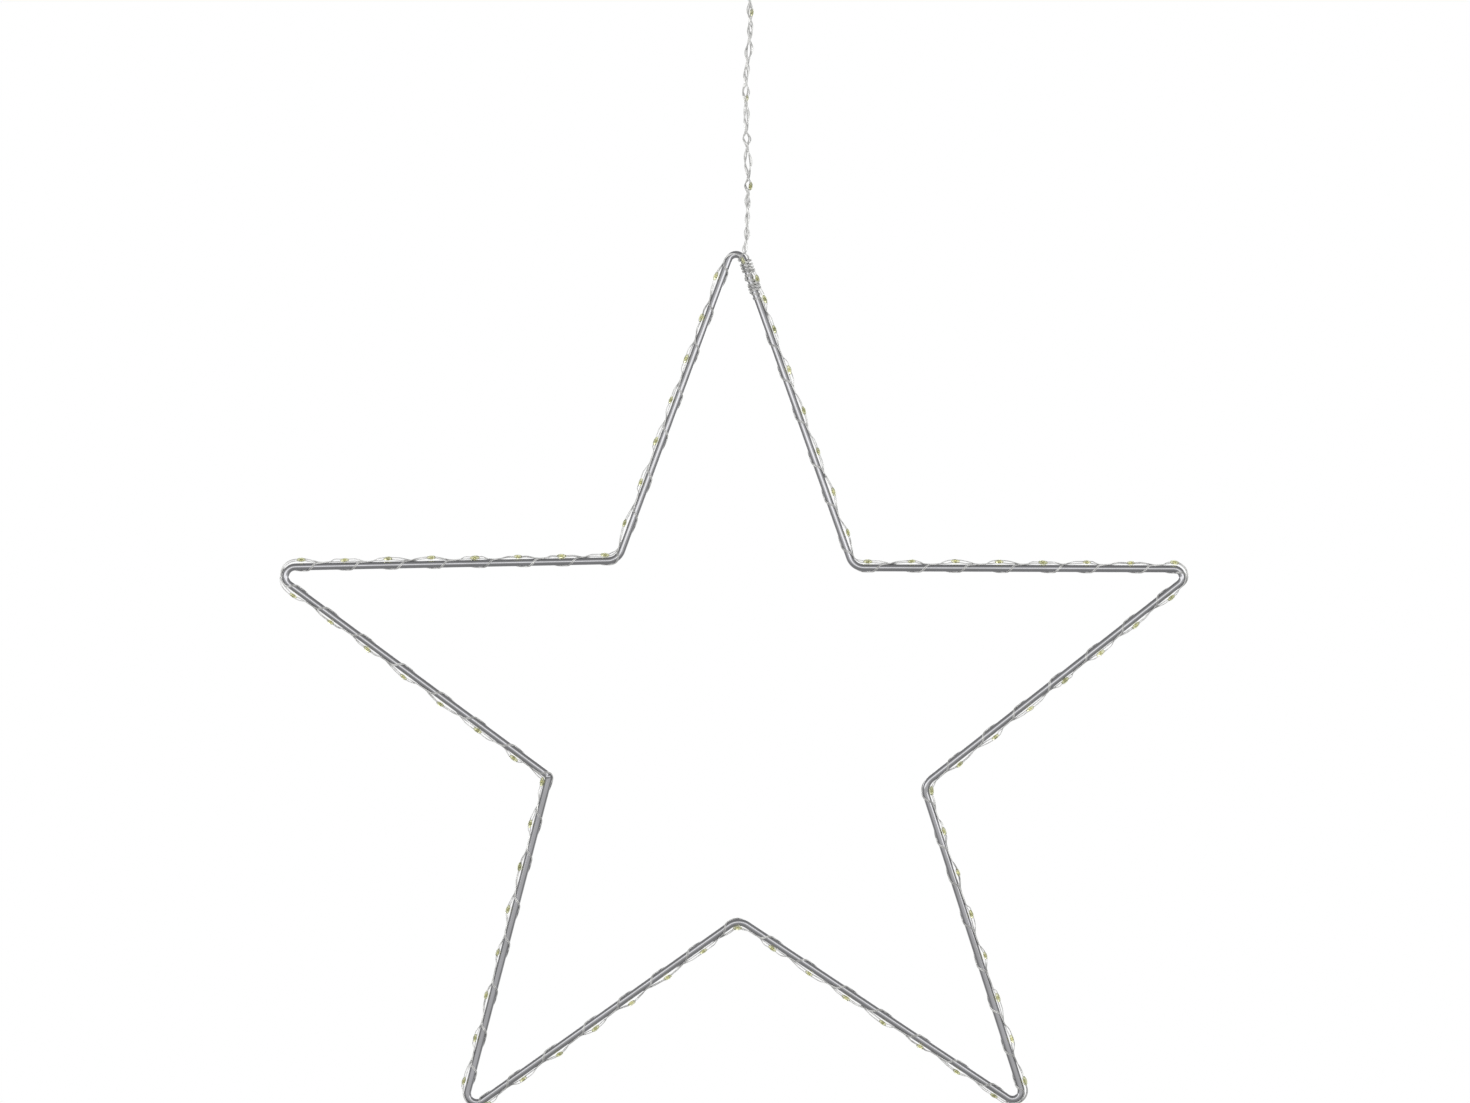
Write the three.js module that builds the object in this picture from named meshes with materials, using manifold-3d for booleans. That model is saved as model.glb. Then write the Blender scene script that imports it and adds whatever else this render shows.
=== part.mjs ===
// A hanging Christmas star: a bent steel rod wound with a string of lights, on a lead from a battery box.
// Millimetres, +Z up, seen from -Y. The origin is the middle of the eye that the battery box hangs by.
import * as THREE from "three";
import { mergeVertices } from "three/addons/utils/BufferGeometryUtils.js";
import Module from "manifold-3d";

// Clearances that the whole part shares
const clearance = 0.3;
const overrun = 2;
const mergeDistance = 0.001;

// The star's rod: round steel, ten bends, its two ends welded at the left lower inner corner
const tipReach = 270.8;
const innerReach = 109.4;
const rodDiameter = 4;
const tipBendRadius = 5;
const innerBendRadius = 8.5;
const weldBendRadius = 2.6;
const weldSwellShare = 1.07;
const weldCorner = 3;
const rodSides = 12;
const bendSteps = 6;
const balanceOffset = 0.75;
// Where each hand-bent corner lies: its reach as a share of the reach above, and degrees past its even place
const cornerReachShares = [0.996, 1.03, 1.018, 0.988, 0.981, 0.986, 0.993, 0.994, 0.998, 0.993];
const cornerTurns = [1.2, 1, 0.6, -1.6, 1.9, 1.5, 2.1, 1.2, 1.8, 0.6];
// How tightly each corner was bent, as a share of the bend radius above
const cornerBendShares = [0.86, 1, 1.08, 1, 1.04, 1, 0.96, 1, 0.92, 1];

// The light string: one wire wound twice round the star, so that the second time fills every other place
const wireDiameter = 0.9;
const wireGap = 0.4;
const dropDiameter = 2.6;
const dropLength = 4.8;
const dropGap = 0.4;
const wireSides = 5;
// The lights on each straight side, going anticlockwise from the top tip: first place, last place, how many
const lightRowShares = [
  [0.09, 0.89, 7],
  [0.035, 0.945, 8],
  [0.065, 1.02, 8],
  [0.15, 0.94, 7],
  [0.04, 0.995, 8],
  [0.13, 0.93, 7],
  [0.05, 0.985, 8],
  [0.12, 0.925, 7],
  [0.03, 0.96, 8],
  [0.1, 0.745, 6],
];
// From light to light the wire keeps along the outside, crosses the front steeply and comes round behind
const alongShares = [0.32, 0.365, 0.415, 0.49, 0.6, 0.73];
const turnShares = [0.14, 0.28, 0.42, 0.56, 0.7, 0.85];
const slackShares = [0, 0.05, 0.1, 0.15, 0.2, 0.2];
// Beside the top tip: three lights that ride over the string's tail, and the wire's way on behind the tip
const tipLightShares = [0.845, 0.905, 0.962];
const overTipShares = [
  [0.978, -0.1, 0.9],
  [0.99, -0.17, 0.6],
  [1.005, -0.16, 0.4],
  [1.02, -0.09, 0.3],
  [1.033, 0.03, 0.3],
];
// The string's start, from the lead over the tip's right shoulder: place, turn and layer
const startShares = [
  [-0.022, 0.07, 0.2],
  [-0.03, 0.17, 0.2],
  [-0.019, 0.31, 0],
  [-0.006, 0.45, 0],
  [0.011, 0.56, 0],
  [0.033, 0.7, 0],
  [0.057, 0.85, 0],
];
// The string's tail, bound tightly round the rod
const tailStartShare = 0.82;
const tailEndShare = 0.96;
const tailTurns = 5;
const tailSteps = 8;
const mostBendPerStep = 20;

// The lead: two loosely twisted strands, drawn here as the round space that they fill
const leadDiameter = 3;
const leadLength = 142.5;
const leadStandoff = 1.5;
const leadSides = 8;
// The lead's gentle waver, from the box down to the star: how far down, to the right, and back
const leadRoute = [
  [0, 0, 0],
  [9, 0, 0],
  [19, 0.3, 0.1],
  [28, 0.5, 0.3],
  [38, 0.4, 0.3],
  [47, 0.1, 0.1],
  [57, -0.2, -0.1],
  [66, -0.3, -0.3],
  [76, -0.3, -0.3],
  [85, -0.1, -0.1],
  [95, 0.2, 0],
  [104, 0.3, 0.1],
  [114, 0.1, 0.1],
  [123, 0, 0],
  [133, 0, 0],
  [142.5, 0, 0],
];

// The cells: three of the AA size, one above the other, lying along X, every other one turned round
const cellCount = 3;
const cellDiameter = 14.2;
const cellLength = 50.5;
const cellNubDiameter = 5.5;
const cellNubLength = 1.2;
const cellGap = 0.5;
const cellEdge = 0.6;

// The battery box
const wallThickness = 1.8;
const railThickness = 3;
const partitionThickness = 1.5;
const bayHeight = 15;
const boxCornerRadius = 4;
const boxEdgeRound = 0.8;
const eyeHoleRadius = 4;
const eyeRim = 3;
const eyeThickness = 5;
const lipThickness = 1.5;
const lipReach = 1.6;
const coverTongueThickness = 1.4;
const gripCount = 5;
const gripPitch = 2.4;
const gripWidth = 1.1;
const gripDepth = 0.6;
const gripLength = 18;

// The contacts: spring-steel strip and wire
const contactThickness = 0.4;
const contactWidth = 9;
const stripWidth = 2.2;
const springLength = 6;
const springBaseRadius = 4;
const springTipRadius = 2.6;
const springWire = 0.8;
const springTurns = 2;

// The circuit board and what is on it
const postHeight = 3;
const postDiameter = 4.4;
const boardThickness = 1.2;
const boardHeight = 12;
const boardMargin = 1.5;
const postInset = 6.25;
const screwDiameter = 1.8;
const screwLength = 5;
const screwHeadDiameter = 3.8;
const screwHeadHeight = 1.3;
const screwSlot = 0.6;
const partGap = 1.8;
const chipSize = [5, 1.5, 4];
const crystalDiameter = 2;
const crystalLength = 6;
const resistorDiameter = 1.8;
const resistorLength = 4.6;
const switchSize = [9, 4, 4];
const knobSize = [3, 2, 5.6];
const knobTravel = 2;
const knobRoot = 1;

// The grommet that grips the lead where it leaves the box, and the lead's end inside
const grommetNeck = 4.6;
const grommetFlange = 7;
const grommetNose = 4;
const grommetNoseLength = 6;
const grommetLip = 1;
const tailDiameter = 1.4;

// Sizes that follow from the ones above
const rodRadius = rodDiameter / 2;
const wireRadius = wireDiameter / 2;
const dropRadius = dropDiameter / 2;
const hugLift = rodRadius + wireGap + wireRadius;
const dropLift = rodRadius + dropGap + dropRadius;
const layerLift = wireDiameter + wireGap;
const boxTop = -(eyeHoleRadius + eyeRim);
const cellPitch = cellDiameter + cellGap;
const cellsHeight = cellCount * cellPitch + cellGap;
const boxHeight = 2 * railThickness + cellsHeight + partitionThickness + bayHeight;
const boxBottom = boxTop - boxHeight;
const innerWidth = cellLength + springLength + 2 * contactThickness + 4 * clearance;
const boxWidth = innerWidth + 2 * wallThickness;
const coverOverlap = lipThickness + clearance + coverTongueThickness;
const boxDepth = wallThickness + cellDiameter + 3 * clearance + coverOverlap;
const frontInside = -boxDepth / 2 + wallThickness;
const coverInside = boxDepth / 2 - coverOverlap;
const cellY = frontInside + clearance + cellDiameter / 2;
const cellsTop = boxTop - railThickness;
const partitionTop = cellsTop - cellsHeight;
const bayTop = partitionTop - partitionThickness;
const bayBottom = bayTop - bayHeight;
const boardY = frontInside + postHeight + clearance + boardThickness / 2;
const boardBack = boardY + boardThickness / 2;
const boardZ = bayTop - boardMargin - boardHeight / 2;
const switchBottom = bayBottom + clearance;
const switchY = boardBack + clearance + switchSize[1] / 2;
const contactFace = innerWidth / 2 - clearance - contactThickness;
const boardWidth = 2 * (contactFace - clearance);
const postPlaces = [postInset - boardWidth / 2, boardWidth / 2 - postInset];
// Along the board, from its left screw: crystal, chip, the lead's tail in the middle, resistor and switch
const screwRoom = screwHeadDiameter / 2 + partGap;
const crystalPlace = postPlaces[0] + screwRoom + crystalDiameter / 2;
const chipPlace = crystalPlace + (crystalDiameter + chipSize[0]) / 2 + partGap;
const resistorPlace = (tailDiameter + resistorLength) / 2 + partGap;
const switchPlace = postPlaces[1] - screwRoom - switchSize[0] / 2;
const leadTop = boxBottom - grommetNoseLength - clearance;
const leadBottom = leadTop - leadLength;
const topBendRadius = tipBendRadius * cornerBendShares[0];
const tipDrop = tipReach * cornerReachShares[0] - topBendRadius * (1 / Math.sin(Math.PI / 10) - 1);
const starMiddle = leadBottom - leadStandoff - rodRadius - tipDrop;

const wasm = await Module();
wasm.setup();

// A closed geometry as a solid that can be joined and cut.
function solidOf(geometry) {
  const bare = new THREE.BufferGeometry().setAttribute("position", geometry.getAttribute("position"));
  bare.setIndex(geometry.index);
  const merged = mergeVertices(bare, mergeDistance);
  const vertProperties = new Float32Array(merged.attributes.position.array);
  const triVerts = new Uint32Array(merged.index.array);
  return new wasm.Manifold(new wasm.Mesh({ numProp: 3, vertProperties, triVerts }));
}

function geometryOf(solid) {
  const mesh = solid.getMesh();
  const position = new THREE.BufferAttribute(mesh.vertProperties, 3);
  const index = new THREE.BufferAttribute(mesh.triVerts, 1);
  return new THREE.BufferGeometry().setAttribute("position", position).setIndex(index);
}

// The first geometry with the joined ones added and the cut ones taken away.
function shape(first, { joined = [], cut = [] }) {
  let solid = solidOf(first);
  for (const more of joined) solid = solid.add(solidOf(more));
  for (const less of cut) solid = solid.subtract(solidOf(less));
  return geometryOf(solid);
}

// A block between two corners.
function block(low, high) {
  const size = high.map((value, i) => value - low[i]);
  const middle = high.map((value, i) => (value + low[i]) / 2);
  return new THREE.BoxGeometry(...size).translate(...middle);
}

// A round bar along an axis, from one place on it to another.
function bar(radius, from, to, axis, sides = 20) {
  const geometry = new THREE.CylinderGeometry(radius, radius, Math.abs(to - from), sides);
  geometry.translate(0, (from + to) / 2, 0);
  if (axis === "x") geometry.rotateZ(-Math.PI / 2);
  if (axis === "z") geometry.rotateX(Math.PI / 2);
  return geometry;
}

// A rounded rectangle in X and Z, thick along Y.
function slab(low, high, thickness, cornerRadius, edgeRound) {
  const [left, bottom] = low;
  const [right, top] = high;
  const r = cornerRadius - edgeRound;
  const [x0, x1, z0, z1] = [left + edgeRound, right - edgeRound, bottom + edgeRound, top - edgeRound];
  const outline = new THREE.Shape();
  outline.absarc(x1 - r, z1 - r, r, 0, Math.PI / 2);
  outline.absarc(x0 + r, z1 - r, r, Math.PI / 2, Math.PI);
  outline.absarc(x0 + r, z0 + r, r, Math.PI, 1.5 * Math.PI);
  outline.absarc(x1 - r, z0 + r, r, 1.5 * Math.PI, 2 * Math.PI);
  const settings = {
    depth: thickness - 2 * edgeRound,
    bevelThickness: edgeRound,
    bevelSize: edgeRound,
    bevelSegments: 2,
    curveSegments: 8,
  };
  const geometry = new THREE.ExtrudeGeometry(outline, settings);
  return geometry.translate(0, 0, -settings.depth / 2).rotateX(Math.PI / 2);
}

// An outline in Y and Z, drawn out along X.
function alongX(points, from, to) {
  const outline = new THREE.Shape(points.map(([y, z]) => new THREE.Vector2(y, z)));
  const geometry = new THREE.ExtrudeGeometry(outline, { depth: to - from, bevelEnabled: false });
  const [x, y, z] = [new THREE.Vector3(0, 1, 0), new THREE.Vector3(0, 0, 1), new THREE.Vector3(1, 0, 0)];
  return geometry.applyMatrix4(new THREE.Matrix4().makeBasis(x, y, z)).translate(from, 0, 0);
}

// A skin over rings of points, closed to a loop or capped at both ends.
function skin(rings, looped) {
  const sides = rings[0].length;
  const index = [];
  const pairs = looped ? rings.length : rings.length - 1;
  for (let i = 0; i < pairs; i++) {
    for (let k = 0; k < sides; k++) {
      const a = i * sides + k;
      const b = i * sides + ((k + 1) % sides);
      const c = ((i + 1) % rings.length) * sides + k;
      const d = ((i + 1) % rings.length) * sides + ((k + 1) % sides);
      index.push(a, b, c, b, d, c);
    }
  }
  const last = (rings.length - 1) * sides;
  for (let k = 1; k + 1 < sides && !looped; k++) {
    index.push(0, k + 1, k);
    index.push(last, last + k, last + k + 1);
  }
  const points = rings.flat().flatMap((p) => p.toArray());
  const geometry = new THREE.BufferGeometry();
  geometry.setAttribute("position", new THREE.Float32BufferAttribute(points, 3));
  return geometry.setIndex(index);
}

// A tube of changing thickness along a list of stops, each a point with its girth.
function tube(stops, sides) {
  const rings = [];
  const side = new THREE.Vector3();
  stops.forEach((stop, i) => {
    const before = stops[Math.max(i - 1, 0)].point;
    const after = stops[Math.min(i + 1, stops.length - 1)].point;
    const ahead = after.clone().sub(before).normalize();
    if (i === 0) side.set(ahead.y, ahead.z, ahead.x);
    side.addScaledVector(ahead, -side.dot(ahead)).normalize();
    const other = new THREE.Vector3().crossVectors(ahead, side);
    const ring = [];
    for (let k = 0; k < sides; k++) {
      const angle = (2 * Math.PI * k) / sides;
      const point = stop.point.clone().addScaledVector(side, stop.girth * Math.cos(angle));
      ring.push(point.addScaledVector(other, stop.girth * Math.sin(angle)));
    }
    rings.push(ring);
  });
  return skin(rings, false);
}

// The rod's middle line, anticlockwise from the middle of the top bend, as straight runs and round bends.
function bentLine() {
  const corners = cornerReachShares.map((share, i) => {
    const reach = share * (i % 2 === 0 ? tipReach : innerReach);
    const even = 90 + (360 / cornerReachShares.length) * i;
    const angle = THREE.MathUtils.degToRad(even + cornerTurns[i]);
    return new THREE.Vector2(reach * Math.cos(angle), reach * Math.sin(angle));
  });
  const count = corners.length;
  const bends = corners.map((corner, i) => {
    const into = corner.clone().sub(corners[(i + count - 1) % count]).normalize();
    const out = corners[(i + 1) % count].clone().sub(corner).normalize();
    const turn = Math.atan2(into.cross(out), into.dot(out));
    const even = i === weldCorner ? weldBendRadius : i % 2 === 0 ? tipBendRadius : innerBendRadius;
    const radius = even * cornerBendShares[i];
    const setback = radius * Math.tan(Math.abs(turn) / 2);
    const start = corner.clone().addScaledVector(into, -setback);
    const end = corner.clone().addScaledVector(out, setback);
    return { start, end, into, out, turn, radius, length: radius * Math.abs(turn) };
  });
  const runs = [];
  let along = -bends[0].length / 2;
  bends.forEach((bend, i) => {
    bend.middle = along + bend.length / 2;
    runs.push({ ...bend, along });
    along += bend.length;
    const next = bends[(i + 1) % count];
    const length = next.start.distanceTo(bend.end);
    runs.push({ start: bend.end, into: bend.out, turn: 0, along, length });
    along += length;
  });
  const total = along + bends[0].length / 2;
  const marks = [...bends.map((bend) => bend.middle), total];
  // The middle line's point, its direction and the way out of the star, at a distance along it.
  function at(distance) {
    const first = runs[0].along;
    const wrapped = THREE.MathUtils.euclideanModulo(distance - first, total) + first;
    const run = runs.findLast((one) => one.along <= wrapped);
    const gone = wrapped - run.along;
    const angle = run.turn === 0 ? 0 : (run.turn * gone) / run.length;
    const ahead = run.into.clone().rotateAround(new THREE.Vector2(), angle);
    const point = run.start.clone();
    if (run.turn === 0) point.addScaledVector(ahead, gone);
    else {
      const inward = new THREE.Vector2(-run.into.y, run.into.x);
      inward.multiplyScalar(Math.sign(run.turn) * run.radius);
      point.add(inward).sub(inward.rotateAround(new THREE.Vector2(), angle));
    }
    const outward = new THREE.Vector2(ahead.y, -ahead.x);
    return { point, ahead, outward, heading: Math.atan2(ahead.y, ahead.x) };
  }
  return { at, bends, marks, total };
}

const line = bentLine();

// A point near the rod, by how far along it lies, its turns round it from the outside by the front, and its
// distance from the rod's middle line.
function around(along, turn, lift) {
  const { point, outward } = line.at(along);
  const angle = 2 * Math.PI * turn;
  const out = lift * Math.cos(angle);
  return new THREE.Vector3(point.x + out * outward.x, -lift * Math.sin(angle), point.y + out * outward.y);
}

function starFrame() {
  const rings = [];
  line.bends.forEach((bend, i) => {
    for (let k = 0; k <= bendSteps; k++) {
      const along = bend.middle + bend.length * (k / bendSteps - 0.5);
      const swell = i === weldCorner && 2 * k === bendSteps ? weldSwellShare : 1;
      const ring = [];
      for (let j = 0; j < rodSides; j++) ring.push(around(along, -(j + 0.5) / rodSides, rodRadius * swell));
      rings.push(ring);
    }
  });
  return skin(rings, true);
}

// The light string's stops, each with its place along the rod, turn, lift and girth.
function stringStops() {
  const [, ...ends] = line.marks;
  const sideStart = (i) => line.marks[i];
  const sideLength = (i) => ends[i] - line.marks[i];
  const places = [];
  lightRowShares.forEach(([first, last, count], i) => {
    for (let k = 0; k < count; k++) {
      const share = THREE.MathUtils.lerp(first, last, k / (count - 1));
      places.push(sideStart(i) + sideLength(i) * share);
    }
  });
  const lastSide = lightRowShares.length - 1;
  const onLastSide = (share) => sideStart(lastSide) + sideLength(lastSide) * share;
  const passPitch = (2 * line.total) / (places.length + tipLightShares.length);
  const stops = [];
  const wire = (along, turn, layer) =>
    stops.push({ along, turn, lift: hugLift + layer * layerLift, girth: wireRadius });
  const light = (along, turn, lift) => {
    stops.push({ along: along - dropLength / 2, turn, lift, girth: wireRadius });
    stops.push({ along, turn, lift, girth: dropRadius });
    stops.push({ along: along + dropLength / 2, turn, lift, girth: wireRadius });
  };
  const pass = (from, lap, turn) => {
    for (let i = from; i < places.length; i += 2) {
      const here = places[i] + lap;
      light(here, turn, dropLift);
      if (i + 2 >= places.length) break;
      const reach = places[i + 2] - places[i];
      alongShares.forEach((share, k) => wire(here + share * reach, turn + turnShares[k], slackShares[k]));
      turn += 1;
    }
    return turn;
  };
  startShares.forEach(([share, turn, layer]) => wire(share * sideLength(0), turn - 1, layer));
  let turn = pass(0, 0, 0);
  const leaving = places[places.length - 2];
  alongShares.forEach((share, k) => {
    wire(leaving + share * passPitch, turn + turnShares[k], k / alongShares.length);
  });
  turn += 1;
  for (const share of tipLightShares) light(onLastSide(share), turn, dropLift + layerLift);
  for (const [share, back, layer] of overTipShares) wire(onLastSide(share), turn + back, layer);
  const arriving = line.total + places[1] - passPitch;
  alongShares.forEach((share, k) => wire(arriving + share * passPitch, turn + turnShares[k], slackShares[k]));
  turn = pass(1, line.total, turn + 1);
  const tailLength = tailEndShare - tailStartShare;
  for (let k = 0; k <= tailTurns * tailSteps; k++) {
    const done = k / (tailTurns * tailSteps);
    const along = line.total + onLastSide(tailStartShare + done * tailLength);
    wire(along, turn + turnShares[0] + done * tailTurns, 0);
  }
  return stops;
}

// The string's path in space, with more stops wherever the rod bends between two of them.
function stringPath() {
  const stops = stringStops();
  const path = [];
  stops.forEach((stop, i) => {
    const next = stops[i + 1];
    path.push({ point: around(stop.along, stop.turn, stop.lift), girth: stop.girth });
    if (!next) return;
    const bend = line.at(next.along).heading - line.at(stop.along).heading;
    const turned = Math.abs(THREE.MathUtils.euclideanModulo(bend + Math.PI, 2 * Math.PI) - Math.PI);
    const parts = Math.ceil(THREE.MathUtils.radToDeg(turned) / mostBendPerStep);
    for (let k = 1; k < parts; k++) {
      const mix = (name) => THREE.MathUtils.lerp(stop[name], next[name], k / parts);
      path.push({ point: around(mix("along"), mix("turn"), mix("lift")), girth: mix("girth") });
    }
  });
  const top = new THREE.Vector3(-balanceOffset, 0, leadBottom - clearance - starMiddle);
  const below = top.clone().setZ(top.z - wireDiameter);
  path.unshift({ point: top, girth: wireRadius }, { point: below, girth: wireRadius });
  const [before, end] = path.slice(-2).map((stop) => stop.point);
  const ahead = end.clone().sub(before).normalize();
  path.push({ point: end.clone().addScaledVector(ahead, wireDiameter), girth: wireRadius });
  return path;
}

// The least space between the string and itself, and between the string and the rod.
function stringGaps(path) {
  const samples = [];
  let gone = 0;
  path.forEach((stop, i) => {
    if (i === 0) return;
    const before = path[i - 1];
    const length = before.point.distanceTo(stop.point);
    const parts = Math.ceil(length / wireRadius);
    for (let k = 0; k < parts; k++) {
      const point = before.point.clone().lerp(stop.point, k / parts);
      const girth = THREE.MathUtils.lerp(before.girth, stop.girth, k / parts);
      samples.push({ point, girth, gone: gone + (length * k) / parts });
    }
    gone += length;
  });
  const middle = [];
  for (let along = 0; along < line.total; along += wireRadius) middle.push(around(along, 0, 0));
  let own = Infinity;
  let rod = Infinity;
  samples.forEach((a, i) => {
    for (let j = i + 1; j < samples.length; j++) {
      const b = samples[j];
      if (b.gone - a.gone < 2 * dropLength) continue;
      own = Math.min(own, a.point.distanceTo(b.point) - a.girth - b.girth);
    }
    for (const point of middle) rod = Math.min(rod, a.point.distanceTo(point) - a.girth - rodRadius);
  });
  return { own, rod, length: gone };
}

function lightString() {
  const path = stringPath();
  const gaps = stringGaps(path);
  console.log("light string: length " + gaps.length.toFixed(0) + " mm");
  console.log("light string: least gap to itself " + gaps.own.toFixed(2) + " mm");
  console.log("light string: least gap to the rod " + gaps.rod.toFixed(2) + " mm");
  return tube(path, wireSides);
}

function lead() {
  const points = leadRoute.map(([down, right, back]) => new THREE.Vector3(right, back, leadTop - down));
  const section = new THREE.Shape();
  for (let k = 0; k < leadSides; k++) {
    const angle = (2 * Math.PI * k) / leadSides;
    const [x, y] = [(leadDiameter / 2) * Math.cos(angle), (leadDiameter / 2) * Math.sin(angle)];
    if (k === 0) section.moveTo(x, y);
    else section.lineTo(x, y);
  }
  const path = new THREE.CatmullRomCurve3(points);
  const steps = Math.ceil(leadLength / (2.5 * leadDiameter));
  return new THREE.ExtrudeGeometry(section, { steps, extrudePath: path, bevelEnabled: false });
}

const boxCorners = [
  [-boxWidth / 2, boxBottom],
  [boxWidth / 2, boxTop],
];

// The room that the cover slides in, or the cover itself where the looseness is nothing.
function coverShape(looseness, from, to) {
  const railTop = boxTop - railThickness;
  const railBottom = boxBottom + railThickness;
  const outside = boxDepth / 2 + (looseness > 0 ? overrun : 0);
  const shoulder = coverInside + coverTongueThickness + looseness;
  const points = [
    [coverInside - looseness, railBottom - lipReach - looseness],
    [shoulder, railBottom - lipReach - looseness],
    [shoulder, railBottom - looseness],
    [outside, railBottom - looseness],
    [outside, railTop + looseness],
    [shoulder, railTop + looseness],
    [shoulder, railTop + lipReach + looseness],
    [coverInside - looseness, railTop + lipReach + looseness],
  ];
  return alongX(points, from, to);
}

function boxHousing() {
  const body = slab(...boxCorners, boxDepth, boxCornerRadius, boxEdgeRound);
  const eye = new THREE.Shape();
  const eyeRadius = eyeHoleRadius + eyeRim;
  eye.absarc(0, 0, eyeRadius, 0, Math.PI);
  eye.lineTo(-eyeRadius, boxTop - wallThickness);
  eye.lineTo(eyeRadius, boxTop - wallThickness);
  eye.holes.push(new THREE.Path().absarc(0, 0, eyeHoleRadius, 0, 2 * Math.PI, true));
  const eyeSettings = { depth: eyeThickness, bevelEnabled: false, curveSegments: 10 };
  const eyeSolid = new THREE.ExtrudeGeometry(eye, eyeSettings);
  eyeSolid.translate(0, 0, -eyeThickness / 2).rotateX(Math.PI / 2);
  const [left, right] = [-innerWidth / 2, innerWidth / 2];
  const back = boxDepth / 2;
  const cells = block([left, frontInside, partitionTop], [right, back - lipThickness, cellsTop]);
  const bay = block([left, frontInside, bayBottom], [right, back - lipThickness, bayTop]);
  const cover = coverShape(clearance, left, boxWidth / 2 + overrun);
  const postTop = frontInside + postHeight;
  const posts = postPlaces.map((x) => {
    const post = bar(postDiameter / 2, frontInside - wallThickness / 2, postTop, "y");
    return post.translate(x, 0, boardZ);
  });
  const screwHoles = postPlaces.map((x) => {
    const hole = bar(screwDiameter / 2 + clearance, frontInside, postTop + overrun, "y", 12);
    return hole.translate(x, 0, boardZ);
  });
  const leadHole = bar(grommetNeck / 2 + clearance, boxBottom - overrun, bayBottom + overrun, "z");
  const knobReach = knobSize[0] / 2 + knobTravel + clearance;
  const knobHalf = knobSize[1] / 2 + clearance;
  const knobSlot = block(
    [switchPlace - knobReach, switchY - knobHalf, boxBottom - overrun],
    [switchPlace + knobReach, switchY + knobHalf, bayBottom + overrun],
  );
  const notchInside = contactFace - clearance;
  const notchDepth = stripWidth + 2 * clearance;
  const notches = [-1, 1].map((way) =>
    block(
      [Math.min(way * notchInside, way * right), frontInside, bayTop - overrun],
      [Math.max(way * notchInside, way * right), frontInside + notchDepth, partitionTop + overrun],
    ),
  );
  const hollow = shape(body, { joined: [eyeSolid], cut: [cells, bay, cover] });
  return shape(hollow, { joined: posts, cut: [...screwHoles, leadHole, knobSlot, ...notches] });
}

function batteryCover() {
  const [left, right] = [-innerWidth / 2 + clearance, boxWidth / 2];
  const within = solidOf(slab(...boxCorners, boxDepth, boxCornerRadius, boxEdgeRound));
  const plate = solidOf(coverShape(0, left, right + overrun)).intersect(within);
  const grips = Array.from({ length: gripCount }, (_, k) => {
    const x = right - railThickness - (k + 1) * gripPitch;
    const middle = (boxTop + boxBottom) / 2;
    return block(
      [x - gripWidth / 2, boxDepth / 2 - gripDepth, middle - gripLength / 2],
      [x + gripWidth / 2, boxDepth / 2 + overrun, middle + gripLength / 2],
    );
  });
  return shape(geometryOf(plate), { cut: grips });
}

// Each cell's height, and which way its nub points: -1 is left.
const cellZ = (k) => cellsTop - cellGap - cellDiameter / 2 - k * cellPitch;
const cellWay = (k) => (k % 2 === 0 ? -1 : 1);

function cell(k) {
  const r = cellDiameter / 2;
  const end = cellLength - cellNubLength;
  const profile = [
    [0, 0],
    [r - cellEdge, 0],
    [r, cellEdge],
    [r, end - cellEdge],
    [r - cellEdge, end],
    [cellNubDiameter / 2, end],
    [cellNubDiameter / 2, cellLength],
    [0, cellLength],
  ];
  const geometry = new THREE.LatheGeometry(profile.map(([x, y]) => new THREE.Vector2(x, y)), 20);
  const way = cellWay(k);
  geometry.rotateZ((-way * Math.PI) / 2);
  return geometry.translate(way * (contactFace - clearance - cellLength), cellY, cellZ(k));
}

// A contact plate against one end wall, behind a cell's nub or spring.
function contactPlate(way, top, bottom) {
  const half = contactWidth / 2;
  const outer = contactFace + contactThickness;
  const [x0, x1] = way < 0 ? [-outer, -contactFace] : [contactFace, outer];
  return block([x0, cellY - half, bottom], [x1, cellY + half, top]);
}

// The thin strip that carries on from a plate down into the circuit board's bay.
function contactStrip(way, top) {
  const outer = contactFace + contactThickness;
  const [x0, x1] = way < 0 ? [-outer, -contactFace] : [contactFace, outer];
  const low = frontInside + clearance;
  const upright = block([x0, low, boardZ], [x1, low + stripWidth, top]);
  const across = block([x0, low, top - stripWidth], [x1, cellY, top]);
  return [upright, across];
}

// The cone of spring wire that presses on a cell's flat end.
function contactSpring(way, z) {
  const stops = [];
  const steps = springTurns * 8;
  for (let k = 0; k <= steps; k++) {
    const done = k / steps;
    const angle = 2 * Math.PI * springTurns * done;
    const radius = THREE.MathUtils.lerp(springBaseRadius, springTipRadius, done);
    const away = THREE.MathUtils.lerp(0, springLength - springWire / 2 - clearance, done);
    const x = way * (contactFace - away);
    const point = new THREE.Vector3(x, cellY + radius * Math.cos(angle), z + radius * Math.sin(angle));
    stops.push({ point, girth: springWire / 2 });
  }
  return tube(stops, wireSides);
}

// The span of a plate that serves the cells from one to another.
function plateSpan(first, last) {
  return [cellZ(first) + contactWidth / 2, cellZ(last) - contactWidth / 2];
}

function plusContact() {
  const way = cellWay(0);
  const plate = contactPlate(way, ...plateSpan(0, 0));
  return shape(plate, { joined: contactStrip(way, cellZ(0)) });
}

function minusContact() {
  const last = cellCount - 1;
  const way = -cellWay(last);
  const plate = contactPlate(way, ...plateSpan(last, last));
  return shape(plate, { joined: [...contactStrip(way, cellZ(last)), contactSpring(way, cellZ(last))] });
}

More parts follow.
